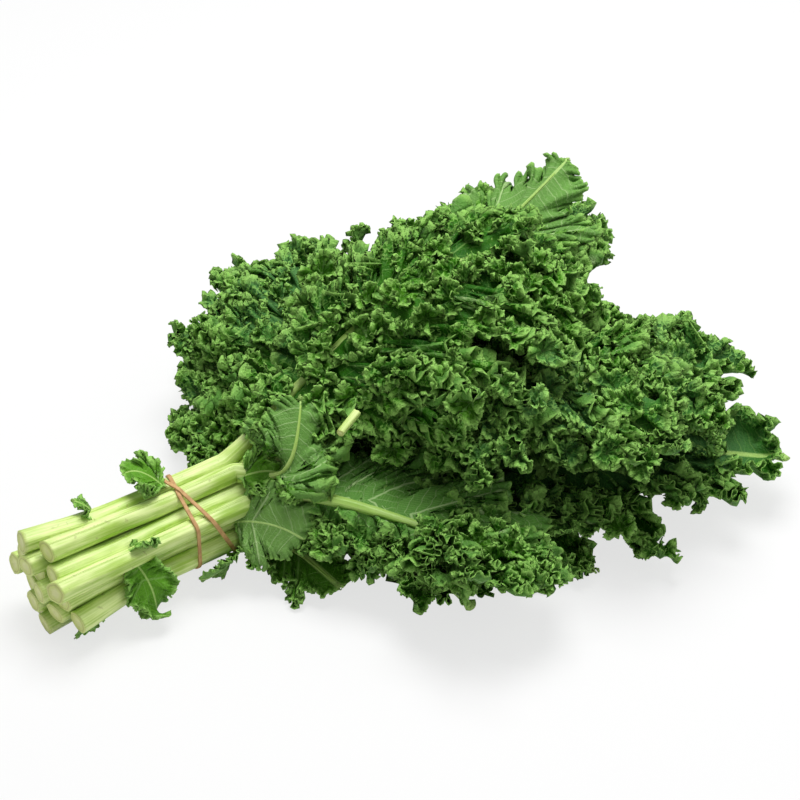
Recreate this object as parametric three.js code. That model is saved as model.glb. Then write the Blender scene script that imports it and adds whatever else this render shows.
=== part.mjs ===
// A bunch of curly kale: sixteen leaves, cut at the stem and held by one rubber band wound twice
// round the stems. It lies on its side on a table, cut ends towards -X and leaf tips fanned towards +X.
// Each leaf is one solid, as it grew: a stem that runs on as the midrib of an arched blade. The blade is
// a plain plate of the leaf's own size, without its curls. Units are millimetres, +Z is up.

import * as THREE from "three";

// Stems, where the band holds them.
const STEM_PITCH = 12.4; // centre to centre of neighbouring stems
const STEM_RADIUS = 5.8;
const ROW_SIZES = [2, 4, 4, 4, 2]; // stems in each row of the bundle, lowest row first
const ROW_SHIFT = STEM_PITCH / 4; // neighbouring rows are shifted by half a pitch in all
const ROW_RISE = (STEM_PITCH * Math.sqrt(3)) / 2;
const GRIP_START = -12; // the stems run parallel from here to GRIP_END, with the band between
const GRIP_END = 42;
const SHOULDER = 0.27; // share of the way to the tip over which a stem leaves the bundle before it bends

// Stems, at the cut ends.
const CUT_X = -97;
const SPLAY = 1.28; // how much wider the bundle is at the cut ends than under the band
const CUT_RADIUS = 7;

// Blades.
const BLADE_THICKNESS = 3;
const EDGE_THICKNESS = 1.2;
const BLADE_STATIONS = 12;
const BLADE_OPENING = 0.16; // share of the blade over which the round stem flattens out
const RIPPLE = 3.5; // height of the plate's own waves at the margin
const TIP_RADIUS = 1.6;
const KEEL_DEPTH = 1.3; // how deep the midrib stands below the blade, in stem radii
const TABLE = 0; // nothing reaches lower than this

// Rubber band.
const BAND_WIDTH = 3;
const BAND_THICKNESS = 1.4;
const BAND_CLEARANCE = 0.35;
const BAND_STEPS = 36; // round one turn
const BAND_LEAN = 15; // the second turn leans this far each way along the stems

// The bundle's axis is this high, so that its lowest cut ends lie on the table.
const LOWEST_ROW = ((ROW_SIZES.length - 1) / 2) * ROW_RISE;
const AXIS_HEIGHT = LOWEST_ROW * SPLAY + CUT_RADIUS;

// One row for each leaf, in the order of its name: its place in the bundle (row, then column from -Y to
// +Y), the direction of its tip from the band (fan, degrees towards +Y), how far the tip reaches from the
// band, the height of the blade's middle (crown) and of its tip, where the blade starts, its half width,
// how far it is rolled about its midrib (degrees, about 180 where the underside faces up), half the angle
// of its arch, and how much shorter its stem was cut (negative where longer).
const LEAF_ROWS = [
  [0, 0, -42, 262, 7, 3, 88, 60, 3, 16, 0],
  [0, 1, 45, 280, 9, 4, 104, 60, -4, 18, 5],
  [1, 0, -48, 88, 19, 12, 54, 17, 12, 18, 8],
  [1, 1, -28, 378, 36, 24, 134, 76, 6, 18, 2],
  [1, 2, 16, 326, 54, 46, 110, 54, -4, 20, -2],
  [1, 3, 56, 150, 27, 17, 66, 38, -10, 18, 6],
  [2, 0, -54, 192, 40, 20, 84, 46, 14, 18, 4],
  [2, 1, -16, 394, 71, 54, 144, 54, 8, 22, -3],
  [2, 2, 4, 374, 98, 82, 142, 52, 7, 20, 7],
  [2, 3, 50, 220, 48, 38, 84, 46, -16, 18, 0],
  [3, 0, -48, 222, 55, 36, 80, 38, 190, 18, -4],
  [3, 1, -30, 330, 98, 74, 138, 52, 12, 22, 3],
  [3, 2, 8, 372, 119, 136, 150, 38, 178, 16, -5],
  [3, 3, 33, 264, 70, 62, 108, 50, -8, 20, 2],
  [4, 0, -36, 100, 84, 106, 62, 22, 205, 18, 5],
  [4, 1, -10, 270, 142, 128, 108, 62, 6, 24, -2],
];

const LEAVES = LEAF_ROWS.map((values, index) => {
  const [row, column, fan, reach, crown, tip, start, half, roll, arch, trim] = values;
  const name = `leaf_${String(index + 1).padStart(2, "0")}`;
  return { name, row, column, fan, reach, crown, tip, start, half, roll, arch, trim };
});

const radians = THREE.MathUtils.degToRad;
const smoothstep = THREE.MathUtils.smoothstep;
const lerp = THREE.MathUtils.lerp;

// Where a stem sits in the bundle, from the bundle's axis.
function stemSlot(row, column) {
  const shift = row % 2 === 0 ? ROW_SHIFT : -ROW_SHIFT;
  return {
    y: (column - (ROW_SIZES[row] - 1) / 2) * STEM_PITCH + shift,
    z: row * ROW_RISE - LOWEST_ROW,
  };
}

// The line that a leaf follows, as three curves: the splayed stem, the stretch under the band, and the
// spread from the band to the tip.
function leafCurves(leaf) {
  const slot = stemSlot(leaf.row, leaf.column);
  const y = slot.y;
  const z = AXIS_HEIGHT + slot.z;
  const cut = new THREE.Vector3(CUT_X + leaf.trim, slot.y * SPLAY, AXIS_HEIGHT + slot.z * SPLAY);
  const gripStart = new THREE.Vector3(GRIP_START, y, z);
  const gripEnd = new THREE.Vector3(GRIP_END, y, z);
  const pull = (GRIP_START - cut.x) / 3;
  const tip = new THREE.Vector3(
    leaf.reach * Math.cos(radians(leaf.fan)),
    y + leaf.reach * Math.sin(radians(leaf.fan)),
    leaf.tip,
  );
  const run = (leaf.reach - GRIP_END) * SHOULDER;
  const shoulder = new THREE.Vector3(GRIP_END + run, y, z + (leaf.crown - z) * 0.3);
  // The bend is placed so that the middle of the curve is at the crown's height.
  const bendHeight = (leaf.crown - (z + 3 * shoulder.z + tip.z) / 8) * (8 / 3);
  const bend = new THREE.Vector3(
    lerp(shoulder.x, tip.x, 0.45),
    lerp(shoulder.y, tip.y, 0.45),
    bendHeight,
  );
  return {
    splayed: new THREE.CubicBezierCurve3(
      cut,
      new THREE.Vector3(cut.x + pull, lerp(cut.y, y, 0.45), lerp(cut.z, z, 0.45)),
      new THREE.Vector3(GRIP_START - pull, y, z),
      gripStart,
    ),
    gripStart,
    gripEnd,
    spread: new THREE.CubicBezierCurve3(gripEnd, shoulder, bend, tip),
  };
}

// The share of the spread curve at which the blade starts.
function bladeStart(leaf) {
  return (leaf.start - GRIP_END) / (leaf.reach - GRIP_END);
}

// Half the blade's width, at a share b of its length: round at the foot, widest past the middle.
function halfWidth(leaf, b) {
  return leaf.half * Math.sin(Math.PI * Math.pow(b, 0.72)) ** 0.62 * (1 - 0.12 * b);
}

// The stations along a leaf: where each ring is, which way it faces, and how it is shaped.
function leafStations(leaf) {
  const { splayed, gripStart, gripEnd, spread } = leafCurves(leaf);
  const along = new THREE.Vector3(1, 0, 0);
  const stations = [0, 0.4, 0.75].map((t) => ({
    at: splayed.getPoint(t),
    along: splayed.getTangent(t),
    radius: lerp(CUT_RADIUS, STEM_RADIUS, t),
    blade: 0,
  }));
  stations.push({ at: gripStart, along, radius: STEM_RADIUS, blade: 0 });
  stations.push({ at: gripEnd, along, radius: STEM_RADIUS, blade: 0 });
  const start = bladeStart(leaf);
  stations.push({
    at: spread.getPoint(start * 0.6),
    along: spread.getTangent(start * 0.6),
    radius: STEM_RADIUS * 0.94,
    blade: 0,
  });
  for (let k = 0; k <= BLADE_STATIONS; k++) {
    const b = k / BLADE_STATIONS;
    const t = lerp(start, 1, b);
    stations.push({
      at: spread.getPoint(t),
      along: spread.getTangent(t),
      radius: lerp(STEM_RADIUS * 0.88, TIP_RADIUS, b),
      blade: b,
    });
  }
  return stations;
}

// Shares of the half width at which a section has its points, from the -side edge to the +side edge.
const ACROSS = [-1, -2 / 3, -1 / 3, 0, 1 / 3, 2 / 3, 1];

// The ring of points of one station: up over the leaf's upper face, then back along its lower face.
function sectionRing(leaf, station, index) {
  const side = new THREE.Vector3(0, 0, 1).cross(station.along).normalize();
  const upright = station.along.clone().cross(side);
  const roll = radians(leaf.roll);
  const lateral = side.clone().multiplyScalar(Math.cos(roll)).addScaledVector(upright, Math.sin(roll));
  const normal = upright.clone().multiplyScalar(Math.cos(roll)).addScaledVector(side, -Math.sin(roll));
  const flat = smoothstep(station.blade, 0, BLADE_OPENING);
  const radius = station.radius;
  const width = Math.max(radius, flat > 0 ? halfWidth(leaf, station.blade) : 0);
  const arch = radians(leaf.arch);
  const keel = Math.max(radius * KEEL_DEPTH, BLADE_THICKNESS / 2);
  const place = (across, off) =>
    station.at.clone().addScaledVector(lateral, across).addScaledVector(normal, off);
  const upper = [];
  const lower = [];
  ACROSS.forEach((t, k) => {
    const turn = arch * t;
    const wave = RIPPLE * t * t * Math.sin(index * 2.1 + (t > 0 ? 1.3 : 0));
    const spread = (width * Math.sin(turn)) / arch;
    const drop = (-width * (1 - Math.cos(turn))) / arch + wave * flat;
    const above = (Math.abs(t) === 1 ? EDGE_THICKNESS : BLADE_THICKNESS) / 2;
    const below = t === 0 ? keel : above;
    const angle = Math.PI * (1 - (k + 0.5) / ACROSS.length);
    const across = lerp(radius * Math.cos(angle), spread, flat);
    const top = place(across, lerp(radius * Math.sin(angle), drop + above, flat));
    const under = place(across, lerp(-radius * Math.sin(angle), drop - below, flat));
    const sunk = Math.max(0, TABLE - Math.min(top.z, under.z));
    top.z += sunk;
    under.z += sunk;
    upper.push(top);
    lower.unshift(under);
  });
  return [...upper, ...lower];
}

// A closed solid from rings of equally many points: walls between them, and a flat fan over each end.
// The upper and lower halves of a ring share their diagonals, so that a thin plate keeps its thickness.
function loftRings(rings) {
  const count = rings[0].length;
  const positions = rings.flat().flatMap((p) => [p.x, p.y, p.z]);
  const faces = [];
  for (let r = 0; r + 1 < rings.length; r++) {
    for (let k = 0; k < count; k++) {
      const a = r * count + k;
      const b = r * count + ((k + 1) % count);
      const upper = k < count / 2;
      faces.push(a, a + count, upper ? b : b + count);
      faces.push(b, upper ? a + count : a, b + count);
    }
  }
  const last = (rings.length - 1) * count;
  for (let k = 1; k + 1 < count; k++) {
    faces.push(0, k, k + 1);
    faces.push(last, last + k + 1, last + k);
  }
  const geometry = new THREE.BufferGeometry();
  geometry.setAttribute("position", new THREE.Float32BufferAttribute(positions, 3));
  geometry.setIndex(faces);
  geometry.computeVertexNormals();
  return geometry;
}

function leafGeometry(leaf) {
  return loftRings(leafStations(leaf).map((station, index) => sectionRing(leaf, station, index)));
}

// Every stem's place under the band.
const SLOTS = LEAVES.map((leaf) => stemSlot(leaf.row, leaf.column));

// The point of the band's inner face in a direction round the bundle: on the outermost stem there.
function bundleOutline(angle, offset) {
  const facing = { y: Math.cos(angle), z: Math.sin(angle) };
  const reach = (slot) => slot.y * facing.y + slot.z * facing.z;
  const stem = SLOTS.reduce((best, slot) => (reach(slot) > reach(best) ? slot : best));
  const out = STEM_RADIUS + offset;
  return { y: stem.y + out * facing.y, z: AXIS_HEIGHT + stem.z + out * facing.z };
}

// The band as one endless strip of two turns. The second turn leans along the stems, and at the top the
// strip steps over itself on its way back to the first.
function bandGeometry() {
  const rings = [];
  const steps = 2 * BAND_STEPS;
  for (let k = 0; k < steps; k++) {
    const share = k / BAND_STEPS; // in turns, from the top of the bundle
    const angle = Math.PI / 2 - 2 * Math.PI * share;
    const fromSecond = Math.abs(((share + 1.5) % 2) - 1); // from the middle of the second turn, in turns
    const second = 1 - smoothstep(fromSecond, 0.44, 0.56);
    const lean = share > 1 ? BAND_LEAN * (1 - Math.cos(2 * Math.PI * share)) : 0;
    const toCrossing = Math.min(share, 2 - share);
    const hump = (BAND_THICKNESS + BAND_CLEARANCE) * (1 - smoothstep(toCrossing, 0.04, 0.12));
    const x = lerp(-BAND_WIDTH * 0.75, BAND_WIDTH * 0.75, second) + lean;
    const inner = bundleOutline(angle, BAND_CLEARANCE + hump);
    const outer = bundleOutline(angle, BAND_CLEARANCE + hump + BAND_THICKNESS);
    const half = BAND_WIDTH / 2;
    rings.push([
      new THREE.Vector3(x - half, inner.y, inner.z),
      new THREE.Vector3(x + half, inner.y, inner.z),
      new THREE.Vector3(x + half, outer.y, outer.z),
      new THREE.Vector3(x - half, outer.y, outer.z),
    ]);
  }
  const count = 4;
  const positions = rings.flat().flatMap((p) => [p.x, p.y, p.z]);
  const faces = [];
  for (let r = 0; r < steps; r++) {
    const next = (r + 1) % steps;
    for (let k = 0; k < count; k++) {
      const a = r * count + k;
      const b = r * count + ((k + 1) % count);
      const c = next * count + k;
      const d = next * count + ((k + 1) % count);
      faces.push(a, c, b, b, c, d);
    }
  }
  const geometry = new THREE.BufferGeometry();
  geometry.setAttribute("position", new THREE.Float32BufferAttribute(positions, 3));
  geometry.setIndex(faces);
  geometry.computeVertexNormals();
  return geometry;
}

const leafMaterial = new THREE.MeshStandardMaterial({ color: 0x4d7a30, roughness: 0.6, metalness: 0 });
const bandMaterial = new THREE.MeshStandardMaterial({ color: 0xb9854f, roughness: 0.7, metalness: 0 });

const bunch = new THREE.Group();
for (const leaf of LEAVES) {
  const mesh = new THREE.Mesh(leafGeometry(leaf), leafMaterial.clone());
  mesh.name = leaf.name;
  bunch.add(mesh);
}
const band = new THREE.Mesh(bandGeometry(), bandMaterial);
band.name = "rubber_band";
bunch.add(band);

// The part's origin is the middle of its footprint, on the table.
const bounds = new THREE.Box3().setFromObject(bunch);
const centre = bounds.getCenter(new THREE.Vector3());
bunch.position.set(-centre.x, -centre.y, -bounds.min.z);

export default bunch;
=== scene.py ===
"""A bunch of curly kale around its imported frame: sixteen frilled leaves and the band round their stalks.

Shapes are worked out in millimetres, with the band at x = 0, and moved to the frame's place as each mesh
is written.
"""

import logging
import math
from dataclasses import dataclass
from enum import Enum
from typing import Any, Sequence

import bmesh
import bpy
import numpy as np
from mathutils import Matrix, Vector


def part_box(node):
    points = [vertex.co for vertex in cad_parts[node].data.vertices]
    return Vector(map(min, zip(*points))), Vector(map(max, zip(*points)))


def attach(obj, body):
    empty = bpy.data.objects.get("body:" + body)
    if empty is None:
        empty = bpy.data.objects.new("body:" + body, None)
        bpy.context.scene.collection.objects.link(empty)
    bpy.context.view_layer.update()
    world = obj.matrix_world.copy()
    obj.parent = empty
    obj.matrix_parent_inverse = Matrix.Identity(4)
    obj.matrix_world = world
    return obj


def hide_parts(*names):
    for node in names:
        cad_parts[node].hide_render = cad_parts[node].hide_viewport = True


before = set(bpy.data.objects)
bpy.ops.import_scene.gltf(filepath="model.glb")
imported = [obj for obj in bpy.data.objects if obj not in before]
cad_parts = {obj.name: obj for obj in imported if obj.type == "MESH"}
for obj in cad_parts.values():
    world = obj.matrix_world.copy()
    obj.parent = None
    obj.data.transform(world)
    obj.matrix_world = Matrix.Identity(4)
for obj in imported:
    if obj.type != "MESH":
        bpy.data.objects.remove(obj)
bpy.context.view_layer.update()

MM = 0.001
BAND_MIDDLE = 15.0  # mm, x of the middle of the rubber band's box in the working frame
FULL_TURN = 2 * math.pi
UPRIGHT = (0.0, 0.0, 1.0)
TABLE_SOFTNESS = 3.0  # mm over which a leaf is pressed flat above the table
CEILING = 179.0  # mm, height that no frill passes
CEILING_SOFTNESS = 12.0  # mm over which a frill is pressed flat under the ceiling
BLADE_THICKNESS = 0.42
FOOT_RADIUS = 4.9  # mm, of a full leaf's midrib at the foot of the blade
# the pale rim within this width is partly the margin's own colour, partly painted highlight
RIM_WIDTH = 9.0  # mm from a margin to where its paleness ends
NO_VEIN = 99.0  # mm, a distance that no vein's width comes near
FOLD_OVERHANG = 0.085  # how far a fold leans over its neck, in wavelengths
SAME = 1e-6  # two coordinates closer than this are one
LOG = logging.getLogger("kale_bunch")

Array = np.ndarray
Point = tuple[float, float, float]


# ---- Small numeric helpers ---------------------------------------------------------------------------


def ease(x: Any, start: float, end: float) -> Any:
    """Rise smoothly from 0 at start to 1 at end.

    Args:
        x: Values to ease.
        start: Where the rise starts.
        end: Where it ends.

    Returns:
        The eased values, from 0 to 1.
    """
    t = np.clip((x - start) / (end - start), 0.0, 1.0)
    return t * t * (3.0 - 2.0 * t)


def wander(rng: np.random.Generator, x: Array, wavelength: float) -> Array:
    """Smooth random values along a line.

    Args:
        rng: Source of the random values.
        x: Places along the line, none of them negative.
        wavelength: Distance between two independent values.

    Returns:
        Values from -1 to 1, one for each place.
    """
    k = np.asarray(x) / wavelength
    values = rng.uniform(-1.0, 1.0, int(np.max(k)) + 3)
    i = k.astype(int)
    f = k - i
    f = f * f * (3.0 - 2.0 * f)
    return values[i] * (1.0 - f) + values[i + 1] * f


def wander_plane(rng: np.random.Generator, x: Array, y: Array, wavelength: float) -> Array:
    """Smooth random values over a surface.

    Args:
        rng: Source of the random values.
        x: First coordinate of each place, none of them negative.
        y: Second coordinate of each place, none of them negative.
        wavelength: Distance between two independent values.

    Returns:
        Values from -1 to 1, one for each place.
    """
    kx, ky = np.broadcast_arrays(x / wavelength, y / wavelength)
    values = rng.uniform(-1.0, 1.0, (int(np.max(kx)) + 3, int(np.max(ky)) + 3))
    i, j = kx.astype(int), ky.astype(int)
    fx, fy = ease(kx - i, 0, 1), ease(ky - j, 0, 1)
    near = values[i, j] * (1 - fx) + values[i + 1, j] * fx
    far = values[i, j + 1] * (1 - fx) + values[i + 1, j + 1] * fx
    return near * (1 - fy) + far * fy


def bezier(points: Sequence[Sequence[float]], count: int) -> Array:
    """Points of a cubic curve.

    Args:
        points: The four control points.
        count: How many points to work out.

    Returns:
        The points, one a row.
    """
    a, b, c, d = (np.asarray(p, float) for p in points)
    t = np.linspace(0.0, 1.0, count)[:, None]
    return (1 - t) ** 3 * a + 3 * (1 - t) ** 2 * t * b + 3 * (1 - t) * t**2 * c + t**3 * d


def arc_lengths(points: Array) -> Array:
    """Distance of each point from the first one, along the line through them."""
    steps = np.linalg.norm(np.diff(points, axis=0), axis=1)
    return np.concatenate([[0.0], np.cumsum(steps)])


def press_down(heights: Array, softness: float) -> Array:
    """Keep heights above zero, pressing those under the softness flat without folding them."""
    return np.where(heights < softness, softness * np.exp(np.minimum(heights / softness - 1, 0)), heights)


def unit(vectors: Array) -> Array:
    """The same directions at length one."""
    return vectors / np.maximum(np.linalg.norm(vectors, axis=-1, keepdims=True), 1e-9)


# ---- Small mesh helpers ------------------------------------------------------------------------------


def working_offset() -> Array:
    """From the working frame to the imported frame, mm."""
    low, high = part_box("rubber_band")
    return np.array([(low.x + high.x) / 2 / MM - BAND_MIDDLE, (low.y + high.y) / 2 / MM, 0.0])


OFFSET = working_offset()


def mesh_of(shell: bmesh.types.BMesh, name: str) -> bpy.types.Mesh:
    """Make a smooth mesh of an edit mesh, and free the edit mesh.

    Args:
        shell: The edit mesh.
        name: Name of the mesh.

    Returns:
        The mesh.
    """
    for face in shell.faces:
        face.smooth = True
    mesh = bpy.data.meshes.new(name)
    shell.to_mesh(mesh)
    shell.free()
    return mesh


def read_places(mesh: bpy.types.Mesh) -> Array:
    """Where the vertices are.

    Args:
        mesh: The mesh.

    Returns:
        Their coordinates, one vertex a row.
    """
    co = np.empty(len(mesh.vertices) * 3)
    mesh.vertices.foreach_get("co", co)
    return co.reshape(-1, 3)


def shape_mesh(mesh: bpy.types.Mesh, co: Array, **attributes: Any) -> bpy.types.Mesh:
    """Give a mesh its shape and its attributes.

    Args:
        mesh: The mesh.
        co: Where each vertex goes in the working frame, mm.
        attributes: By name, one value for each vertex, or one for all.

    Returns:
        The same mesh.
    """
    mesh.vertices.foreach_set("co", ((co + OFFSET) * MM).ravel())
    mesh.update()
    for name, values in attributes.items():
        layer = mesh.attributes.new(name, "FLOAT", "POINT")
        layer.data.foreach_set("value", np.broadcast_to(values, len(mesh.vertices)).astype(np.float32))
    return mesh


def add_object(name: str, data: Any) -> bpy.types.Object:
    """Add an object to the scene.

    Args:
        name: Name of the object.
        data: Its mesh, camera or lamp.

    Returns:
        The object, at the origin.
    """
    added = bpy.data.objects.new(name, data)
    bpy.context.scene.collection.objects.link(added)
    return added


def press_into_room(co: Array) -> None:
    """Press vertices flat above the table and under the ceiling."""
    co[:, 2] = press_down(co[:, 2], TABLE_SOFTNESS)
    co[:, 2] = CEILING - press_down(CEILING - co[:, 2], CEILING_SOFTNESS)


# ---- The bundle and the lines that its leaves follow -------------------------------------------------


@dataclass(frozen=True)
class Bundle:
    """How the stalks lie together where the band holds them, and at their cut ends."""

    pitch: float = 12.4  # from stalk to stalk
    rows: tuple[int, ...] = (2, 4, 4, 4, 2)  # stalks in each row, lowest row first
    grip_radius: float = 6.1  # of a stalk under the band
    cut_radius: float = 7.0
    cut_x: float = -97.0
    splay: float = 1.28  # how much wider the bundle is at the cut ends
    grip_start: float = -12.0  # the stalks run parallel from here to grip_end
    grip_end: float = 42.0
    shoulder: float = 0.27  # share of the way to the tip at which a leaf bends away

    @property
    def row_rise(self) -> float:
        """Height from one row of stalks to the next."""
        return self.pitch * math.sqrt(3.0) / 2.0

    @property
    def axis_height(self) -> float:
        """Height of the middle of the bundle above the table."""
        return (len(self.rows) - 1) / 2 * self.row_rise * self.splay + self.cut_radius

    def place(self, row: int, column: int) -> tuple[float, float]:
        """Where a stalk is under the band, from the middle of the bundle.

        Args:
            row: Row of the bundle, from the lowest.
            column: Place in the row, from -Y.

        Returns:
            The stalk's y and z.
        """
        shift = self.pitch / 4 if row % 2 == 0 else -self.pitch / 4
        y = (column - (self.rows[row] - 1) / 2) * self.pitch + shift
        return y, (row - (len(self.rows) - 1) / 2) * self.row_rise

    def places(self) -> list[tuple[float, float]]:
        """Every stalk's place under the band."""
        return [self.place(r, c) for r, n in enumerate(self.rows) for c in range(n)]


BUNDLE = Bundle()


class Line:
    """A smooth line in space with frames along it, sampled about every millimetre."""

    SMOOTHING = 6  # rounds of averaging of the directions

    def __init__(self, points: Array) -> None:
        """Resample the line and work out its directions.

        Args:
            points: Points that the line runs through, one a row.
        """
        s = arc_lengths(points)
        self.length = float(s[-1])
        self.s = np.linspace(0.0, self.length, max(int(self.length), 8) + 1)
        self.points = np.stack([np.interp(self.s, s, points[:, k]) for k in range(3)], 1)
        tangents = np.gradient(self.points, axis=0)
        for _ in range(self.SMOOTHING):
            tangents[1:-1] = (tangents[:-2] + 2 * tangents[1:-1] + tangents[2:]) / 4
        self.tangents = unit(tangents)

    def frames(self, s: Array, roll: Any) -> tuple[Array, Array, Array]:
        """Places and sideways directions at distances along the line, kept as upright as it allows.

        Args:
            s: Distances from the line's start, in any shape.
            roll: Turn about the line in radians, one value or one for each distance.

        Returns:
            The points, the lateral directions and the normals, each with a last axis of three.
        """
        flat = np.ravel(s)
        place = np.stack([np.interp(flat, self.s, self.points[:, k]) for k in range(3)], 1)
        along = unit(np.stack([np.interp(flat, self.s, self.tangents[:, k]) for k in range(3)], 1))
        beyond = np.maximum(flat - self.length, 0.0) + np.minimum(flat, 0.0)
        place = place + along * beyond[:, None]
        side = unit(np.cross(UPRIGHT, along))
        top = np.cross(along, side)
        turn = np.ravel(roll)[:, None]
        lateral = side * np.cos(turn) + top * np.sin(turn)
        normal = top * np.cos(turn) - side * np.sin(turn)
        shape = np.shape(s) + (3,)
        return place.reshape(shape), lateral.reshape(shape), normal.reshape(shape)


# ---- Frilled blades ----------------------------------------------------------------------------------


@dataclass(frozen=True)
class Frill:
    """One size of ruffle along a margin, as excess length folds it."""

    wavelength: float
    height: float
    depth: float  # how far in from the margin it starts
    power: float  # how late it grows on its way out
    lean: float  # outward swing of the folds
    overhang: float = FOLD_OVERHANG
    warp: float = 2.6  # how much the folds wander on their way out, radians


@dataclass(frozen=True)
class Habit:
    """How a blade grows: its lobes, the way they stand, and the frills round them."""

    frills: tuple[Frill, ...]
    widen: float = 1.35  # flat width of the pattern, in the leaf's half widths
    curl: float = 22.0  # degrees that the outer part of the blade turns up
    lobe_pitch: float = 26.0  # from lobe to lobe along the midrib
    lobe_gap: float = 0.42  # share of the lobe's length that the gaps reach in
    lobe_swell: float = 0.05  # how far the lobes bulge over the gaps, in lobe pitches
    rise: tuple[float, float] = (5.0, 10.0)  # mean and spread of the lobes' rise, degrees
    tilt: tuple[float, float] = (0.30, 0.30)  # mean and spread of their slope across their veins
    bend: float = 7.0  # how far their tips may curve up or down, mm
    cup: tuple[float, float, float] = (12.0, 8.0, 15.0)  # height, pull and depth of the turned-up margin
    teeth: tuple[float, float] = (1.2, 3.2)  # height and pitch


class Growth(Enum):
    """The habits of this bunch's blades."""

    CUPPED = Habit((Frill(19, 5.6, 22, 0.9, 3.0), Frill(6.8, 2.6, 11, 0.8, 1.2)), lobe_gap=0.38)
    MOSSY = Habit(
        (Frill(14, 4.6, 22, 0.8, 2.5), Frill(5.0, 2.0, 11, 0.7, 0.9)),
        lobe_pitch=22.0, curl=6.0, rise=(2.0, 9.0), cup=(11.0, 8.0, 14.0), teeth=(0.9, 2.3),
    )
    OPEN = Habit(
        (Frill(20, 5.2, 17, 1.0, 2.5), Frill(6.8, 2.8, 10, 0.8, 1.0)),
        widen=1.3, curl=26.0, rise=(0.0, 6.0), bend=4.0, lobe_gap=0.24, cup=(5.0, 2.0, 11.0),
    )
    TENDER = Habit(
        (Frill(9, 2.7, 9, 1.0, 1.2), Frill(4.0, 1.3, 5, 0.9, 0.4, overhang=0.08)),
        widen=1.3, curl=25.0, lobe_pitch=15.0, lobe_gap=0.26, rise=(0.0, 8.0), bend=2.0,
        cup=(3.0, 1.0, 6.0), teeth=(0.9, 2.2),
    )


class Weave:
    """A flat closed shell with more columns towards its two margins, that every blade starts as."""

    def __init__(self, name: str, columns: int, rows: Sequence[tuple[float, int]]) -> None:
        """Build the shell.

        Args:
            name: Name of the shell's mesh.
            columns: Columns of faces at the midrib.
            rows: For each row from the midrib, how far out its outer edge is, as a share, and how many
                times its columns are halved.
        """
        self.shares = np.array([0.0] + [share for share, _ in rows])
        self.levels = max(level for _, level in rows)
        self.columns = columns * 2**self.levels
        half = len(rows)
        shell = bmesh.new()
        bmesh.ops.create_grid(shell, x_segments=columns, y_segments=2 * half, size=1)
        for vert in shell.verts:
            k = round((vert.co.y + 1) * half) - half
            vert.co.y = math.copysign(self.shares[abs(k)], k)
            vert.co.x = (vert.co.x + 1) / 2
        for level in range(1, self.levels + 1):
            inner = min(self.shares[i] for i, (_, doublings) in enumerate(rows) if doublings >= level)
            edges = [
                e for e in shell.edges
                if abs(e.verts[0].co.y - e.verts[1].co.y) < SAME and abs(e.verts[0].co.y) > inner + SAME
            ]
            bmesh.ops.subdivide_edges(shell, edges=edges, cuts=1, use_grid_fill=True)
        bmesh.ops.solidify(shell, geom=shell.faces[:], thickness=1.0)
        bmesh.ops.triangulate(shell, faces=shell.faces[:])
        bmesh.ops.recalc_face_normals(shell, faces=shell.faces[:])
        self.mesh = mesh_of(shell, name)
        co = read_places(self.mesh)
        self.lower = (co[:, 2] < -0.5).astype(float)
        self.column = np.rint(np.clip(co[:, 0], 0, 1) * self.columns).astype(int)
        row = np.abs(np.abs(co[:, 1])[:, None] - self.shares[None, :]).argmin(1)
        self.row = half + np.where(co[:, 1] < 0, -row, row)

    @property
    def half(self) -> int:
        """Rows on each side of the midrib."""
        return len(self.shares) - 1


class Weaves(Enum):
    """How finely a blade is woven: columns at the midrib, then its rows."""

    MEDIUM = (150, ((.14, 0), (.28, 0), (.42, 0), (.55, 1), (.66, 2), (.75, 2), (.83, 3), (.885, 3),
                    (.93, 3), (.967, 3), (1.0, 3)))
    LIGHT = (100, ((.15, 0), (.30, 1), (.45, 1), (.58, 2), (.70, 2), (.80, 3), (.88, 3), (.945, 3),
                   (1.0, 3)))
    SMALL = (64, ((.15, 0), (.30, 0), (.45, 1), (.60, 1), (.72, 2), (.82, 2), (.91, 2), (1.0, 2)))
    TINY = (48, ((.2, 0), (.4, 0), (.6, 1), (.8, 2), (1.0, 2)))

    def weave(self) -> Weave:
        """This weave's shell, built once.

        Returns:
            The shell.
        """
        if self.name not in _WOVEN:
            columns, rows = self.value
            _WOVEN[self.name] = Weave(f"weave_{self.name.lower()}", columns, rows)
        return _WOVEN[self.name]


_WOVEN: dict[str, Weave] = {}


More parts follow.
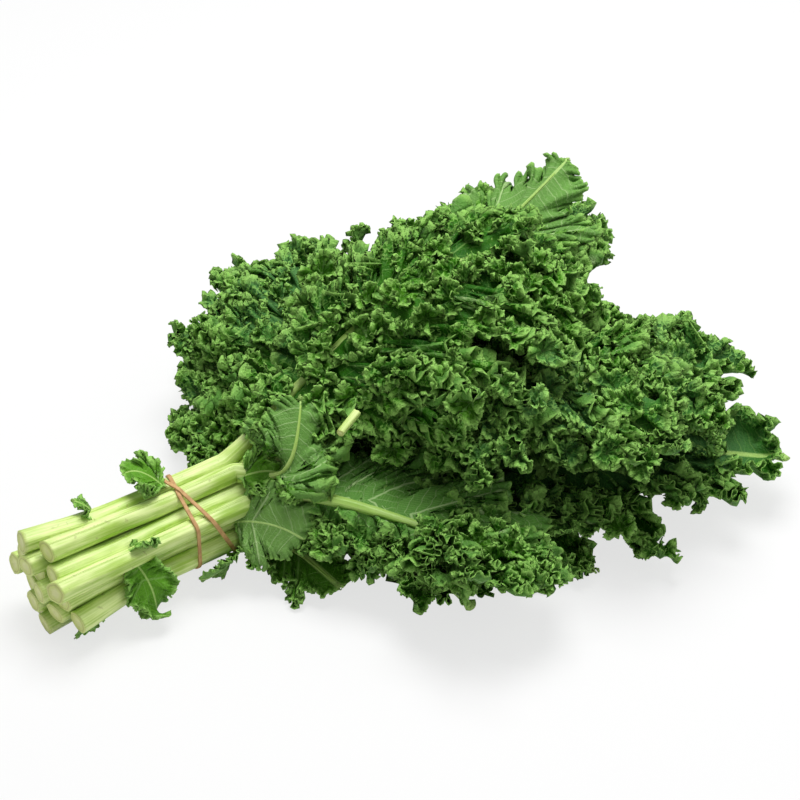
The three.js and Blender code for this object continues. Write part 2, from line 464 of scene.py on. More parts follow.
@dataclass(frozen=True)
class Outline:
    """Smooth outline of one side of a flat blade, by how many lobes lie before a place on it."""

    FULL_WIDTH = 0.34  # share of the length by which the outline has its full width
    FOOT_POWER = 0.75  # how roundly it widens from the foot
    TIP_POWERS = (4.6, 0.48)  # how late and how bluntly it closes at the tip
    VEIN_SLANT = 96.0  # degrees between veins and midrib at the foot
    VEIN_TURN = 66.0  # how much less it is at the tip, degrees
    VEIN_POWER = 0.8  # how early the veins turn

    length: float
    bulk: float  # greatest distance from the midrib, mm
    stops: Array  # the gaps between lobes, counted in lobes
    knots: Array  # where the gaps are, as shares of the length
    tall: Array  # height of each lobe, as a share
    veer: Array  # how far its vein turns from the others' slant, radians

    @classmethod
    def grow(cls, rng: np.random.Generator, length: float, bulk: float, lobes: int) -> "Outline":
        """Draw an outline with uneven lobes.

        Args:
            rng: Source of the random values.
            length: Length of the blade.
            bulk: Greatest distance from the midrib, mm.
            lobes: How many lobes it has.

        Returns:
            The outline, with half a lobe at its tip.
        """
        widths = 1.0 + 0.4 * rng.uniform(-1, 1, lobes)
        widths[-1] *= 0.5
        knots = np.concatenate([[0.0], np.cumsum(widths)]) / widths.sum()
        stops = np.concatenate([np.arange(lobes), [lobes - 0.5]])
        tall = 1.0 + 0.2 * rng.uniform(-1, 1, lobes + 1)
        return cls(length, bulk, stops, knots, tall, np.radians(14.0) * rng.uniform(-1, 1, lobes + 1))

    def at(self, t: Array) -> tuple[Array, Array, Array, Array]:
        """The outline at places counted in lobes.

        Args:
            t: The places.

        Returns:
            Distances along the midrib and from it, slants of the veins, and where they leave the midrib.
        """
        middles = np.arange(len(self.tall)) + 0.5
        b = np.interp(t, self.stops, self.knots)
        late, blunt = self.TIP_POWERS
        y = self.bulk * np.minimum(b / self.FULL_WIDTH, 1.0) ** self.FOOT_POWER
        y = y * np.clip(1 - b**late, 0, 1) ** blunt * np.interp(t, middles, self.tall)
        y[b >= 1.0 - 1e-9] = 0.0
        y = np.maximum(y, 0.0)
        angle = np.radians(self.VEIN_SLANT - self.VEIN_TURN * b**self.VEIN_POWER)
        angle = angle + np.interp(t, middles, self.veer)
        x = self.length * b
        return x, y, angle, x - y / np.tan(angle)


class Blade:
    """The surface of one frilled blade, on a grid of columns from margin to margin across the midrib."""

    MARGIN_POINTS = 4000  # at which a margin is worked out
    GATHERING = 0.72  # how much each lobe's columns draw together towards its vein at the midrib
    FEET_APART = 0.4  # keeps columns from starting at one point, mm in all
    LONG_REACH = 22.0  # mm from midrib to margin at which frills have their full size
    TEETH_DEPTH = 4.0  # mm in from the margin at which the teeth start
    RIDGE_HEIGHT = 0.55  # how much thicker the blade is along a lobe's vein, mm
    RIDGE_WIDTH = 0.9  # half width of that ridge, mm
    RIDGE_END = 14.0  # mm from the margin at which it starts to fade

    def __init__(self, line: Line, start: float, halves: tuple[float, float], roll: float, arch: float,
                 lift: float, habit: Habit, weave: Weave, seed: int) -> None:
        """Lay out the flat pattern, bend it round the midrib, and fold its margins.

        Args:
            line: The line that the midrib follows.
            start: Distance along the line at which the blade starts.
            halves: Width of each side of the blade, mm, the -lateral side first.
            roll: Turn about the midrib, degrees.
            arch: How far each half droops from the midrib, degrees.
            lift: How far it stands off the line, mm.
            habit: The way it grows.
            weave: The shell that it will be woven on.
            seed: Seed of its random shapes.
        """
        self.rng = np.random.default_rng(seed)
        self.weave = weave
        self.habit = habit
        self.halves = halves
        m = weave.half
        signed = np.concatenate([-weave.shares[:0:-1], weave.shares])
        self.share = np.abs(signed)[None, :]
        self.sign = np.sign(signed)[None, :]
        self.sides = (slice(0, m), slice(m, 2 * m + 1))
        self._lay_out(line.length - start)
        self._stand(line, start, math.radians(roll), math.radians(arch), lift)
        for frill in habit.frills:
            self._fold(frill)
        self._notch()
        self.normals = self._directions()[0]

    def _side_pattern(self, length: float, half: float) -> dict[str, Array]:
        """One side of the flat pattern: where columns start on the midrib and end on the lobed margin.

        Args:
            length: Length of the blade.
            half: Width of this side, mm.

        Returns:
            The columns' values, by name.
        """
        habit = self.habit
        lobes = max(3, round(length / habit.lobe_pitch))
        span = lobes - 0.5
        outline = Outline.grow(self.rng, length, half * habit.widen, lobes)
        t = np.linspace(0.0, span, self.MARGIN_POINTS)
        x, y, angle, root = outline.at(t)
        gap = habit.lobe_gap * (0.5 + 0.5 * np.cos(FULL_TURN * t)) ** 1.25
        swell = habit.lobe_swell * habit.lobe_pitch * np.sin(2 * FULL_TURN * t)
        swell = swell * np.clip(y / (0.5 * outline.bulk), 0, 1)
        margin_x = root + (1 - gap) * (x - root) + np.sin(angle) * swell
        margin_y = np.maximum((1 - gap) * y - np.cos(angle) * swell, 0.0)
        gathered = t + self.GATHERING * np.sin(FULL_TURN * t) / FULL_TURN
        feet = np.clip(np.maximum.accumulate(outline.at(np.clip(gathered, 0, span))[3]), 0.0, length)
        feet = feet * (1 - self.FEET_APART / length) + np.linspace(0.0, self.FEET_APART, len(t))
        margin = arc_lengths(np.stack([margin_x, margin_y], 1))
        column = np.interp(np.linspace(0, margin[-1], self.weave.columns + 1), margin, t)
        own = np.minimum(np.floor(column), lobes - 1).astype(int)
        _, _, slant, base = outline.at(np.arange(lobes) + 0.5)
        values = self._per_lobe(column, lobes)
        lines = (("x", margin_x), ("y", margin_y), ("root", feet))
        values |= {key: np.interp(column, t, line) for key, line in lines}
        values |= {"base": base[own], "cos": np.cos(slant)[own], "sin": np.sin(slant)[own]}
        values["last"] = np.where(own == lobes - 1, 1.0, 0.0)
        return values

    def _per_lobe(self, column: Array, lobes: int) -> dict[str, Array]:
        """How the lobes of one side stand.

        Args:
            column: Where each column is, counted in lobes.
            lobes: How many lobes there are.

        Returns:
            The columns' rises in radians, slopes and bends, by name, blended from lobe to lobe.
        """
        rng, habit = self.rng, self.habit
        mean, spread = habit.rise
        drawn = {"lift": np.radians(mean + spread * rng.uniform(-1, 1, lobes))}
        drawn["tilt"] = habit.tilt[0] + habit.tilt[1] * rng.uniform(-1, 1, lobes)
        drawn["bend"] = habit.bend * rng.uniform(-1, 1, lobes)
        place = np.clip(column - 0.5, 0, lobes - 1.001)
        lobe = place.astype(int)
        onward = ease(place - lobe, 0.34, 0.66)
        following = np.minimum(lobe + 1, lobes - 1)
        return {key: each[lobe] * (1 - onward) + each[following] * onward for key, each in drawn.items()}

    def _lay_out(self, length: float) -> None:
        """Work out the flat pattern of both sides.

        Args:
            length: Length of the blade.
        """
        left, right = (self._side_pattern(length, half) for half in self.halves)
        pick = {k: np.where(self.sign < 0, left[k][:, None], right[k][:, None]) for k in left}
        v = self.share
        middle = ((left["root"] + right["root"]) / 2)[:, None]
        root = middle + (pick["root"] - middle) * ease(v, 0, 0.35)
        self.x = root + (pick["x"] - root) * v
        self.y = pick["y"] * v
        self.pick = pick
        across = np.stack([pick["x"] - pick["root"], pick["y"]], -1)
        self.reach = np.maximum(np.linalg.norm(across, axis=-1), 1e-3)
        edge = unit(np.gradient(np.stack([pick["x"], pick["y"]], -1), axis=0))
        slant = np.abs(across[..., 0] * edge[..., 1] - across[..., 1] * edge[..., 0]) / self.reach
        self.inset = (1 - v) * self.reach * np.clip(slant, 0.3, 1.0)
        dx = self.x - pick["base"]
        self.vein_along = dx * pick["cos"] + self.y * pick["sin"]
        self.vein_off = dx * pick["sin"] - self.y * pick["cos"]
        self.vein_off = np.where(pick["last"] > 0.5, NO_VEIN, self.vein_off)
        self.vigour = np.clip(self.reach / self.LONG_REACH, 0.3, 1.0) * ease(v, 0.04, 0.42)

    def _stand(self, line: Line, start: float, roll: float, arch: float, raised: float) -> None:
        """Bend the pattern round the midrib and stand its lobes.

        Args:
            line: The line that the midrib follows.
            start: Distance along the line at which the blade starts.
            roll: Turn about the midrib, radians.
            arch: How far each half droops, radians.
            raised: How far it stands off the line, mm.
        """
        bulk = np.where(self.sign < 0, *self.halves) * self.habit.widen
        q, run, climb = self._cross_section(arch)
        out, up = np.interp(self.y / bulk, q, run) * bulk, np.interp(self.y / bulk, q, climb) * bulk
        lift = self.pick["lift"] * ease(self.share, 0.0, 0.3)
        out, up = out * np.cos(lift) - up * np.sin(lift), out * np.sin(lift) + up * np.cos(lift)
        off = np.where(self.vein_off == NO_VEIN, 0.0, self.vein_off)
        near = ease(self.share, 0.05, 0.6)
        up = up + self.pick["tilt"] * off * near
        up = up + self.pick["bend"] * (self.vein_along / bulk) ** 2 * near
        up = up + 3.0 * wander(self.rng, self.x + 40, 38) * self.share + raised
        height, pull, depth = self.habit.cup
        cup = np.clip(1 - self.inset / depth, 0, 1) ** 1.35 * self.vigour
        place, lateral, normal = line.frames(start + self.x, roll)
        self.surface = place + lateral * (out * self.sign)[..., None] + normal * up[..., None]
        normals, _, outward = self._directions()
        self.ground, self.facing = self.surface, normals
        self.surface = self.surface + normals * (height * cup)[..., None]
        self.surface = self.surface - outward * (pull * cup)[..., None]

    def _cross_section(self, arch: float) -> tuple[Array, Array, Array]:
        """How each half droops from the midrib and turns up again.

        Args:
            arch: How far it droops, radians.

        Returns:
            Flat distances from the midrib, level ones and heights, all in widths of the half.
        """
        q = np.linspace(0.0, 1.6, 240)
        curl = math.radians(self.habit.curl)
        turn = -arch * np.clip(q / 0.5, 0, 1) + (arch + curl) * ease(q, 0.35, 1.0)
        run = np.concatenate([[0.0], np.cumsum(np.cos(turn[:-1]) * np.diff(q))])
        climb = np.concatenate([[0.0], np.cumsum(np.sin(turn[:-1]) * np.diff(q))])
        return q, run, climb

    def _directions(self) -> tuple[Array, Array, Array]:
        """The surface's directions over the grid.

        Returns:
            Unit normals, directions along the margin, and directions outward.
        """
        along = np.gradient(self.surface, axis=0)
        outward = np.gradient(self.surface, axis=1)
        normals = unit(np.cross(along, outward))
        outward = unit(outward)
        outward[:, : self.weave.half] *= -1
        return normals, unit(along), outward

    def _margin(self, side: slice) -> Array:
        """Distances along one side's margin as it is now."""
        return arc_lengths(self.surface[:, 0 if side.start == 0 else -1])

    def _fold(self, frill: Frill) -> None:
        """Fold both margins once.

        Args:
            frill: The ruffle to add.
        """
        normals, along, outward = self._directions()
        shift = np.zeros_like(self.surface)
        rng = self.rng
        for side in self.sides:
            s = self._margin(side)
            inset = self.inset[:, side]
            phase = FULL_TURN * s / frill.wavelength + 1.4 * wander(rng, s, frill.wavelength * 1.3)
            warp = frill.warp * wander_plane(rng, s[:, None], inset, frill.wavelength * 1.2)
            swing = 1.0 + 0.5 * wander_plane(rng, s[:, None], inset, frill.wavelength * 0.9)
            lean = frill.lean * wander(rng, s, frill.wavelength * 0.9)
            a = np.clip(1 - inset / frill.depth, 0, 1) ** frill.power * swing * self.vigour[:, side]
            turn = phase[:, None] + warp
            over = frill.overhang * frill.wavelength * np.clip(a, 0, 1.2)
            shift[:, side] = (
                normals[:, side] * (frill.height * a * np.sin(turn))[..., None]
                - along[:, side] * (over * np.sin(2 * turn))[..., None]
                + outward[:, side] * (lean[:, None] * a * np.cos(turn))[..., None]
            )
        self.surface = self.surface + shift

    def _notch(self) -> None:
        """Cut small teeth into the margins by drawing the last rows in and out."""
        height, pitch = self.habit.teeth
        outward = self._directions()[2]
        tooth = np.zeros(self.surface.shape[:2])
        for side in self.sides:
            s = self._margin(side)
            k = s / pitch + 0.8 * wander(self.rng, s, pitch * 2)
            peak = np.abs((k % 1.0) * 2 - 1) * (1 + 0.6 * wander(self.rng, s, pitch * 1.5))
            tooth[:, side] = peak[:, None] * np.clip(1 - self.inset[:, side] / self.TEETH_DEPTH, 0, 1)
        self.surface = self.surface + outward * (height * tooth * self.vigour)[..., None]

    def mesh(self, name: str, slender: float, young: float) -> bpy.types.Mesh:
        """Give the weave this blade's shape.

        Args:
            name: Name of the mesh.
            slender: How slender its pale midrib is, 0 where it has none.
            young: How light its green is.

        Returns:
            The closed shell, with its attributes.
        """
        i, j = self.weave.column, self.weave.row
        lower = self.weave.lower
        off, inset = self.vein_off[i, j], self.inset[i, j]
        ridge = np.exp(-((off / self.RIDGE_WIDTH) ** 2)) * np.clip(inset / self.RIDGE_END, 0, 1)
        ridge = ridge * self.RIDGE_HEIGHT
        co = self.surface[i, j] - self.normals[i, j] * ((BLADE_THICKNESS + ridge) * lower)[:, None]
        press_into_room(co)
        mesh = self.weave.mesh.copy()
        mesh.name = name
        rim, along = np.clip(1 - inset / RIM_WIDTH, 0, 1), self.vein_along[i, j]
        rib = self.y[i, j] * slender if slender else NO_VEIN
        return shape_mesh(mesh, co, rim=rim, underside=lower, vein_along=along, vein_off=off, rib_off=rib,
                          young=young)


@dataclass(frozen=True)
class Crowd:
    """Tufts of bunched margin that crowd on a blade's upper side.

    The frills' values are the wavelength, the height and the depth of each size of frill, mm.
    """

    count: int  # greatest number of tufts
    spacing: float = 13.0  # least distance between two tufts, mm
    radius: tuple[float, float] = (7.5, 12.0)
    clear: float = 5.0  # how far in from the margin they keep, mm
    reach: tuple[float, float] = (0.0, 1.0)  # part of the blade's length that they stand on
    fold: float = 0.30  # height of the broad folds, in radii
    frills: tuple[tuple[float, float, float], ...] = ((7.5, 2.0, 11.0), (3.7, 1.25, 7.0))
    young: float = 0.5  # how light the lightest are


class Burr:
    """A flat closed disc with more columns towards its rim, that every tuft starts as."""

    SHARES = (0.0, 0.30, 0.52, 0.70, 0.83, 0.93, 1.0)
    COLUMNS = 30

    def __init__(self) -> None:
        """Build the disc from a sphere, its northern half becoming the upper side."""
        bands = 2 * (len(self.SHARES) - 1)
        self.columns = self.COLUMNS * 4
        ball = bmesh.new()
        bmesh.ops.create_uvsphere(ball, u_segments=self.COLUMNS, v_segments=bands, radius=1)
        for closest in (3, 1):
            edges = [
                e for e in ball.edges
                if abs(e.verts[0].co.z - e.verts[1].co.z) < SAME
                and abs(e.verts[0].co.z) < math.sin(math.pi / bands * (closest + 0.5))
            ]
            bmesh.ops.subdivide_edges(ball, edges=edges, cuts=1, use_grid_fill=True)
        bmesh.ops.triangulate(ball, faces=ball.faces[:])
        self.mesh = mesh_of(ball, "burr")
        co = read_places(self.mesh)
        ring = np.rint(np.arccos(np.clip(co[:, 2], -1, 1)) / math.pi * bands).astype(int)
        self.lower = (ring > bands // 2).astype(float)
        self.ring = np.where(ring > bands // 2, bands - ring, ring)
        turn = np.arctan2(co[:, 1], co[:, 0]) / FULL_TURN
        self.column = np.rint(turn * self.columns).astype(int) % self.columns


class Tufts:
    """The tufts of one blade, shaped together."""

    LOOSENESS = (1.5, 1.3, 1.15, 1.0, 0.85)  # spacing kept in each round of picks, in the crowd's spacing
    PICKS = 1600  # places tried in each round
    MIDRIB_PULL = 4.0  # how much likelier they are to stand at the midrib than far from it
    MIDRIB_WIDTH = 14.0  # mm from the midrib over which that fades
    AXIS_SPREAD = 0.5  # how far their directions stray from the blade's normal
    AXIS_RISE = 0.35  # how far they turn upright

    def __init__(self, host: Blade, crowd: Crowd, burr: Burr, seed: int) -> None:
        """Scatter the tufts over the blade and fold them.

        Args:
            host: The blade that they stand on.
            crowd: How they crowd.
            burr: The disc that each starts as.
            seed: Seed of their places and shapes.
        """
        self.rng = np.random.default_rng(seed)
        self.crowd = crowd
        self.burr = burr
        feet, axes = self._scatter(host)
        self.radius = self.rng.uniform(*crowd.radius, len(feet))[:, None, None]
        self.share = np.array(burr.SHARES)[None, None, :]
        self.angle = (np.arange(burr.columns) / burr.columns * FULL_TURN)[None, :, None]
        self.inset = (1 - self.share) * self.radius
        self.surface = self._cups()
        self._fold_broad()
        for wavelength, height, depth in crowd.frills:
            self._frill(wavelength, height, depth)
        self._nick()
        self.normals = self._normals()
        self._stand(feet, axes)

    def _scatter(self, host: Blade) -> tuple[Array, Array]:
        """Choose where the tufts stand.

        Args:
            host: The blade that they stand on.

        Returns:
            Their feet and their directions.
        """
        rng, crowd = self.rng, self.crowd
        low, high = (np.nanmax(host.x) * share for share in crowd.reach)
        ok = np.argwhere((host.inset > crowd.clear) & (host.x >= low) & (host.x <= high))
        cells = np.cross(np.gradient(host.ground, axis=0), np.gradient(host.ground, axis=1))
        near_midrib = np.exp(-((host.y[ok[:, 0], ok[:, 1]] / self.MIDRIB_WIDTH) ** 2))
        weights = np.linalg.norm(cells, axis=-1)[ok[:, 0], ok[:, 1]] * (1 + self.MIDRIB_PULL * near_midrib)
        feet, axes = np.zeros((0, 3)), []
        rounds = len(self.LOOSENESS)
        picks = ok[rng.choice(len(ok), rounds * self.PICKS, p=weights / weights.sum())]
        for looseness, tried in zip(self.LOOSENESS, picks.reshape(rounds, self.PICKS, 2)):
            for i, j in tried:
                foot = host.ground[i, j]
                if len(feet) == crowd.count:
                    break
                if len(feet) and np.linalg.norm(feet - foot, axis=1).min() < crowd.spacing * looseness:
                    continue
                feet = np.vstack([feet, foot])
                axes.append(host.facing[i, j])
        axes = np.array(axes) + self.AXIS_SPREAD * rng.normal(size=(len(axes), 3))
        return feet, unit(axes + self.AXIS_RISE * np.array(UPRIGHT))

    def _harmonics(self, waves: range, size: float) -> Array:
        """Smooth random values round each tuft.

        Args:
            waves: Which waves round the tuft to add up.
            size: About how large the values are.

        Returns:
            One value for each tuft, column and ring.
        """
        total = 0.0
        for k in waves:
            start, drift = self.rng.uniform(0, FULL_TURN, (2, len(self.radius), 1, 1))
            total = total + self.rng.normal(size=(len(self.radius), 1, 1)) * np.cos(
                k * self.angle + start + (drift - math.pi) * 0.6 * self.share)
        return total * size / math.sqrt(len(waves) / 2)

    def _cups(self) -> Array:
        """The tufts before they fold: shallow cups of their own outlines.

        Returns:
            Their places from their feet, with a last axis of three.
        """
        r = self.radius * self.share * (1 + self._harmonics(range(1, 5), 0.2))
        height = self.radius * (0.85 * self.share**0.75 - 0.22 * self.share**4)
        height = height + self.radius * self.share**1.5 * self._harmonics(range(1, 4), 0.24)
        return np.stack([r * np.cos(self.angle), r * np.sin(self.angle), height + 0 * r], -1)

    def _round(self) -> Array:
        """Steps round the tufts' axes."""
        return np.roll(self.surface, -1, 1) - np.roll(self.surface, 1, 1)

    def _normals(self) -> Array:
        """Unit normals over the tufts."""
        return unit(np.cross(np.gradient(self.surface, axis=2), self._round()))

    def _fold(self, turn: Array, height: Array, wavelength: Array) -> None:
        """Fold the tufts once.

        Args:
            turn: Where each place is in its fold, radians.
            height: Height of the fold there, mm.
            wavelength: From fold to fold, mm.
        """
        along = unit(self._round())
        highest = np.maximum(height.max(axis=(1, 2), keepdims=True), SAME)
        over = FOLD_OVERHANG * wavelength * np.clip(height / highest, 0, 1)
        self.surface = self.surface + self._normals() * (height * np.sin(turn))[..., None]
        self.surface = self.surface - along * (over * np.sin(2 * turn))[..., None]

    def _fold_broad(self) -> None:
        """Throw each tuft into a few broad folds."""
        folds = self.rng.integers(4, 7, (len(self.radius), 1, 1))
        turn = folds * self.angle + self._harmonics(range(1, 4), 0.7)
        turn = turn + self._harmonics(range(2, 5), 0.5) * self.share
        height = self.crowd.fold * self.radius * self.share**1.7
        height = height * (1 + self._harmonics(range(1, 5), 0.35))
        self._fold(turn, height, FULL_TURN * self.radius / folds)

    def _frill(self, wavelength: float, height: float, depth: float) -> None:
        """Frill each tuft's rim once.

        Args:
            wavelength: From frill to frill, mm.
            height: Height of the frills at the rim, mm.
            depth: How far in from the rim they start, mm.
        """
        steps = np.linalg.norm(np.roll(self.surface[:, :, -1], -1, 1) - self.surface[:, :, -1], axis=-1)
        s = np.cumsum(steps, axis=1) - steps
        total = steps.sum(axis=1, keepdims=True)
        turn = (FULL_TURN * np.rint(total / wavelength) * s / total)[..., None]
        turn = turn + self._harmonics(range(4, 16), 0.9)
        turn = turn + self._harmonics(range(3, 9), 1.5) * (1 - self.share)
        size = height * np.clip(1 - self.inset / depth, 0, 1) ** 0.7
        size = size * (1 + self._harmonics(range(5, 14), 0.35))
        self._fold(turn, size, wavelength + 0 * self.radius)

    def _nick(self) -> None:
        """Draw the rims in and out a little."""
        outward = unit(np.gradient(self.surface, axis=2))
        nick = self.rng.uniform(-0.35, 0.75, self.surface.shape[:2])[..., None]
        nick = nick * np.clip(1 - self.inset / 1.5, 0, 1)
        self.surface = self.surface + outward * nick[..., None]

    def _stand(self, feet: Array, axes: Array) -> None:
        """Stand the tufts on the blade.

        Args:
            feet: Where each stands.
            axes: The direction that each opens in.
        """
        level = unit(np.cross(axes, self.rng.normal(size=axes.shape)))
        basis = np.stack([level, np.cross(axes, level), axes], 1)[:, None, None]
        self.surface = (self.surface[..., None] * basis).sum(-2) + feet[:, None, None]
        self.normals = (self.normals[..., None] * basis).sum(-2)

    def mesh(self, name: str) -> bpy.types.Mesh:
        """Build the tufts.

        Args:
            name: Name of the mesh.

        Returns:
            Their closed shells in one mesh, with the attributes of a blade.
        """
        ring, column, lower = self.burr.ring, self.burr.column, self.burr.lower
        count = len(self.radius)
        many = bmesh.new()
        for _ in range(count):
            many.from_mesh(self.burr.mesh)
        mesh = mesh_of(many, name)
        thickness = (BLADE_THICKNESS * lower)[None, :, None]
        co = self.surface[:, column, ring] - self.normals[:, column, ring] * thickness
        co = co.reshape(-1, 3)
        press_into_room(co)
        inset = (self.inset + 0 * self.angle)[:, column, ring]
        rim = np.clip(1 - inset.ravel() / RIM_WIDTH, 0, 1)
        out = (self.share * self.radius + 0 * self.angle)[:, column, ring].ravel()
        young = (self.rng.uniform(0, self.crowd.young, (count, 1)) + 0 * inset).ravel()
        return shape_mesh(mesh, co, rim=rim, underside=np.tile(lower, count), vein_along=out,
                          vein_off=NO_VEIN, rib_off=NO_VEIN, young=young)


# ---- Stalks and the rubber band ----------------------------------------------------------------------


@dataclass
class Stalk:
    """A leaf's stalk from its cut end, which runs on as the midrib of the blade."""

    GROOVE = (0.06, 0.26)  # depth of the upper side's groove at the band and how much it deepens, in radii
    RIBS = 5  # sets of fine ribs that are added up
    FLATTENING = 0.12  # how much flatter the midrib is in the blade
    SINKING = 0.55  # how far it is sunk in the blade, in radii
    SWAY = 1.3  # how far the free end strays from the line, mm
    HOLLOW = 0.35  # depth of the cut face's hollow, mm
    RING = (0.25, 0.72, 0.12)  # height in mm of the ring on the cut face, and its place and width in radii
    RIND = 0.93  # share of the radius inside the rind

    line: Line
    blade_start: float
    roll: float
    seed: int
    grip_radius: float = BUNDLE.grip_radius
    foot_radius: float = FOOT_RADIUS
    tip_radius: float = 0.7
    end_share: float = 0.97  # how far along the line the midrib still stands proud
    segments: int = 32
    rings: int = 100
    cut_slant: float = 0.16
    cut_radius: float = BUNDLE.cut_radius

    def mesh(self, name: str) -> bpy.types.Mesh:
        """Build the stalk as one closed tube.

        Args:
            name: Name of the mesh.

        Returns:
            The mesh, with its attributes.
        """
        tube = bmesh.new()
        bmesh.ops.create_cone(tube, cap_ends=True, segments=self.segments, radius1=1, radius2=1, depth=1)
        walls = [e for e in tube.edges if abs(e.verts[0].co.z - e.verts[1].co.z) > 0.5]
        bmesh.ops.subdivide_edges(tube, edges=walls, cuts=self.rings - 1, use_grid_fill=True)
        for cap in [f for f in tube.faces if len(f.verts) == self.segments]:
            for width in (0.10, 0.22, 0.22, 0.2):
                bmesh.ops.inset_individual(tube, faces=[cap], thickness=width)
            bmesh.ops.poke(tube, faces=[cap])
        bmesh.ops.recalc_face_normals(tube, faces=tube.faces[:])
        mesh = mesh_of(tube, name)
        placed, values = self._place(read_places(mesh))
        return shape_mesh(mesh, placed, **values)

    def _place(self, co: Array) -> tuple[Array, dict[str, Array]]:
        """Put the unit tube along the line and shape its section.

        Args:
            co: The unit tube's vertices.

        Returns:
            The placed vertices and the attributes' values.
        """
        rng = np.random.default_rng(self.seed)
        length = self.line.length * self.end_share
        share = (co[:, 2] + 0.5) ** 1.12
        core = np.hypot(co[:, 0], co[:, 1])
        angle = np.arctan2(co[:, 0], co[:, 1])  # from the normal, towards the lateral direction
        s = share * length
        grip = -BUNDLE.cut_x + BUNDLE.grip_start
        grip_end = grip + BUNDLE.grip_end - BUNDLE.grip_start
        radii = (self.cut_radius, self.grip_radius, self.grip_radius, self.foot_radius, self.tip_radius)
        radius = np.interp(s, (0, grip, grip_end, self.blade_start, length), radii)
        in_blade = ease(s, self.blade_start - 12, self.blade_start + 25)
        groove = self.GROOVE[0] + self.GROOVE[1] * ease(s, grip_end, self.blade_start)
        profile = self._profile(rng, s, angle, groove)
        across, up = np.sin(angle) * core * radius * profile, np.cos(angle) * core * radius * profile
        up = up * (1 - self.FLATTENING * in_blade) - self.SINKING * radius * in_blade
        free = 1 - ease(s, grip - 45, grip)
        sway = [self.SWAY * wander(rng, s, 60) * free for _ in range(2)]
        place, lateral, normal = self.line.frames(s, math.radians(self.roll))
        placed = place + lateral * (across + sway[0])[:, None] + normal * (up + sway[1])[:, None]
        slant = rng.uniform(-self.cut_slant, self.cut_slant, 2)
        end = np.exp(-s / 3.0)
        placed[:, 0] += end * (slant[0] * across + slant[1] * up)
        face = np.where(s < 1e-3, 1.0, 0.0)
        height, middle, width = self.RING
        ring = np.exp(-(((core - middle) / width) ** 2))
        placed[:, 0] += face * self.HOLLOW * (1 - core) ** 2 - height * face * ring
        placed[:, 2] = press_down(placed[:, 2], 0.5)
        values = {
            "cut": face * np.where(core < self.RIND, 1.0, 0.4),
            "core": core,
            "along": s,
            "turn": angle / FULL_TURN,
            "green": ease(s, self.blade_start * 0.6, self.blade_start + 60),
        }
        return placed, values

    def _profile(self, rng: np.random.Generator, s: Array, angle: Array, groove: Array) -> Array:
        """Outline of the section, which changes along the stalk.

        Args:
            rng: Source of the random values.
            s: Distance of each vertex from the cut end, mm.
            angle: Its place round the stalk, from the normal.
            groove: Depth of the groove along the upper side there, in radii.

        Returns:
            Distances from the middle, in radii.
        """
        wedge = math.pi / int(rng.integers(5, 8))
        swivel = angle + rng.uniform(0, FULL_TURN) + 0.4 * wander(rng, s, 90)
        faceted = math.cos(wedge) / np.cos((swivel % (2 * wedge)) - wedge)
        profile = (0.45 + 0.55 * (faceted + 0.07)) - groove * np.exp(-((angle / 0.5) ** 2))
        for _ in range(self.RIBS):
            waves = int(rng.integers(5, 12))
            drift = rng.uniform(0, FULL_TURN) + 0.8 * wander(rng, s, 70)
            profile = profile + rng.uniform(0.004, 0.014) * np.cos(waves * angle + drift)
        return profile * (1 + 0.03 * wander(rng, s, 26))


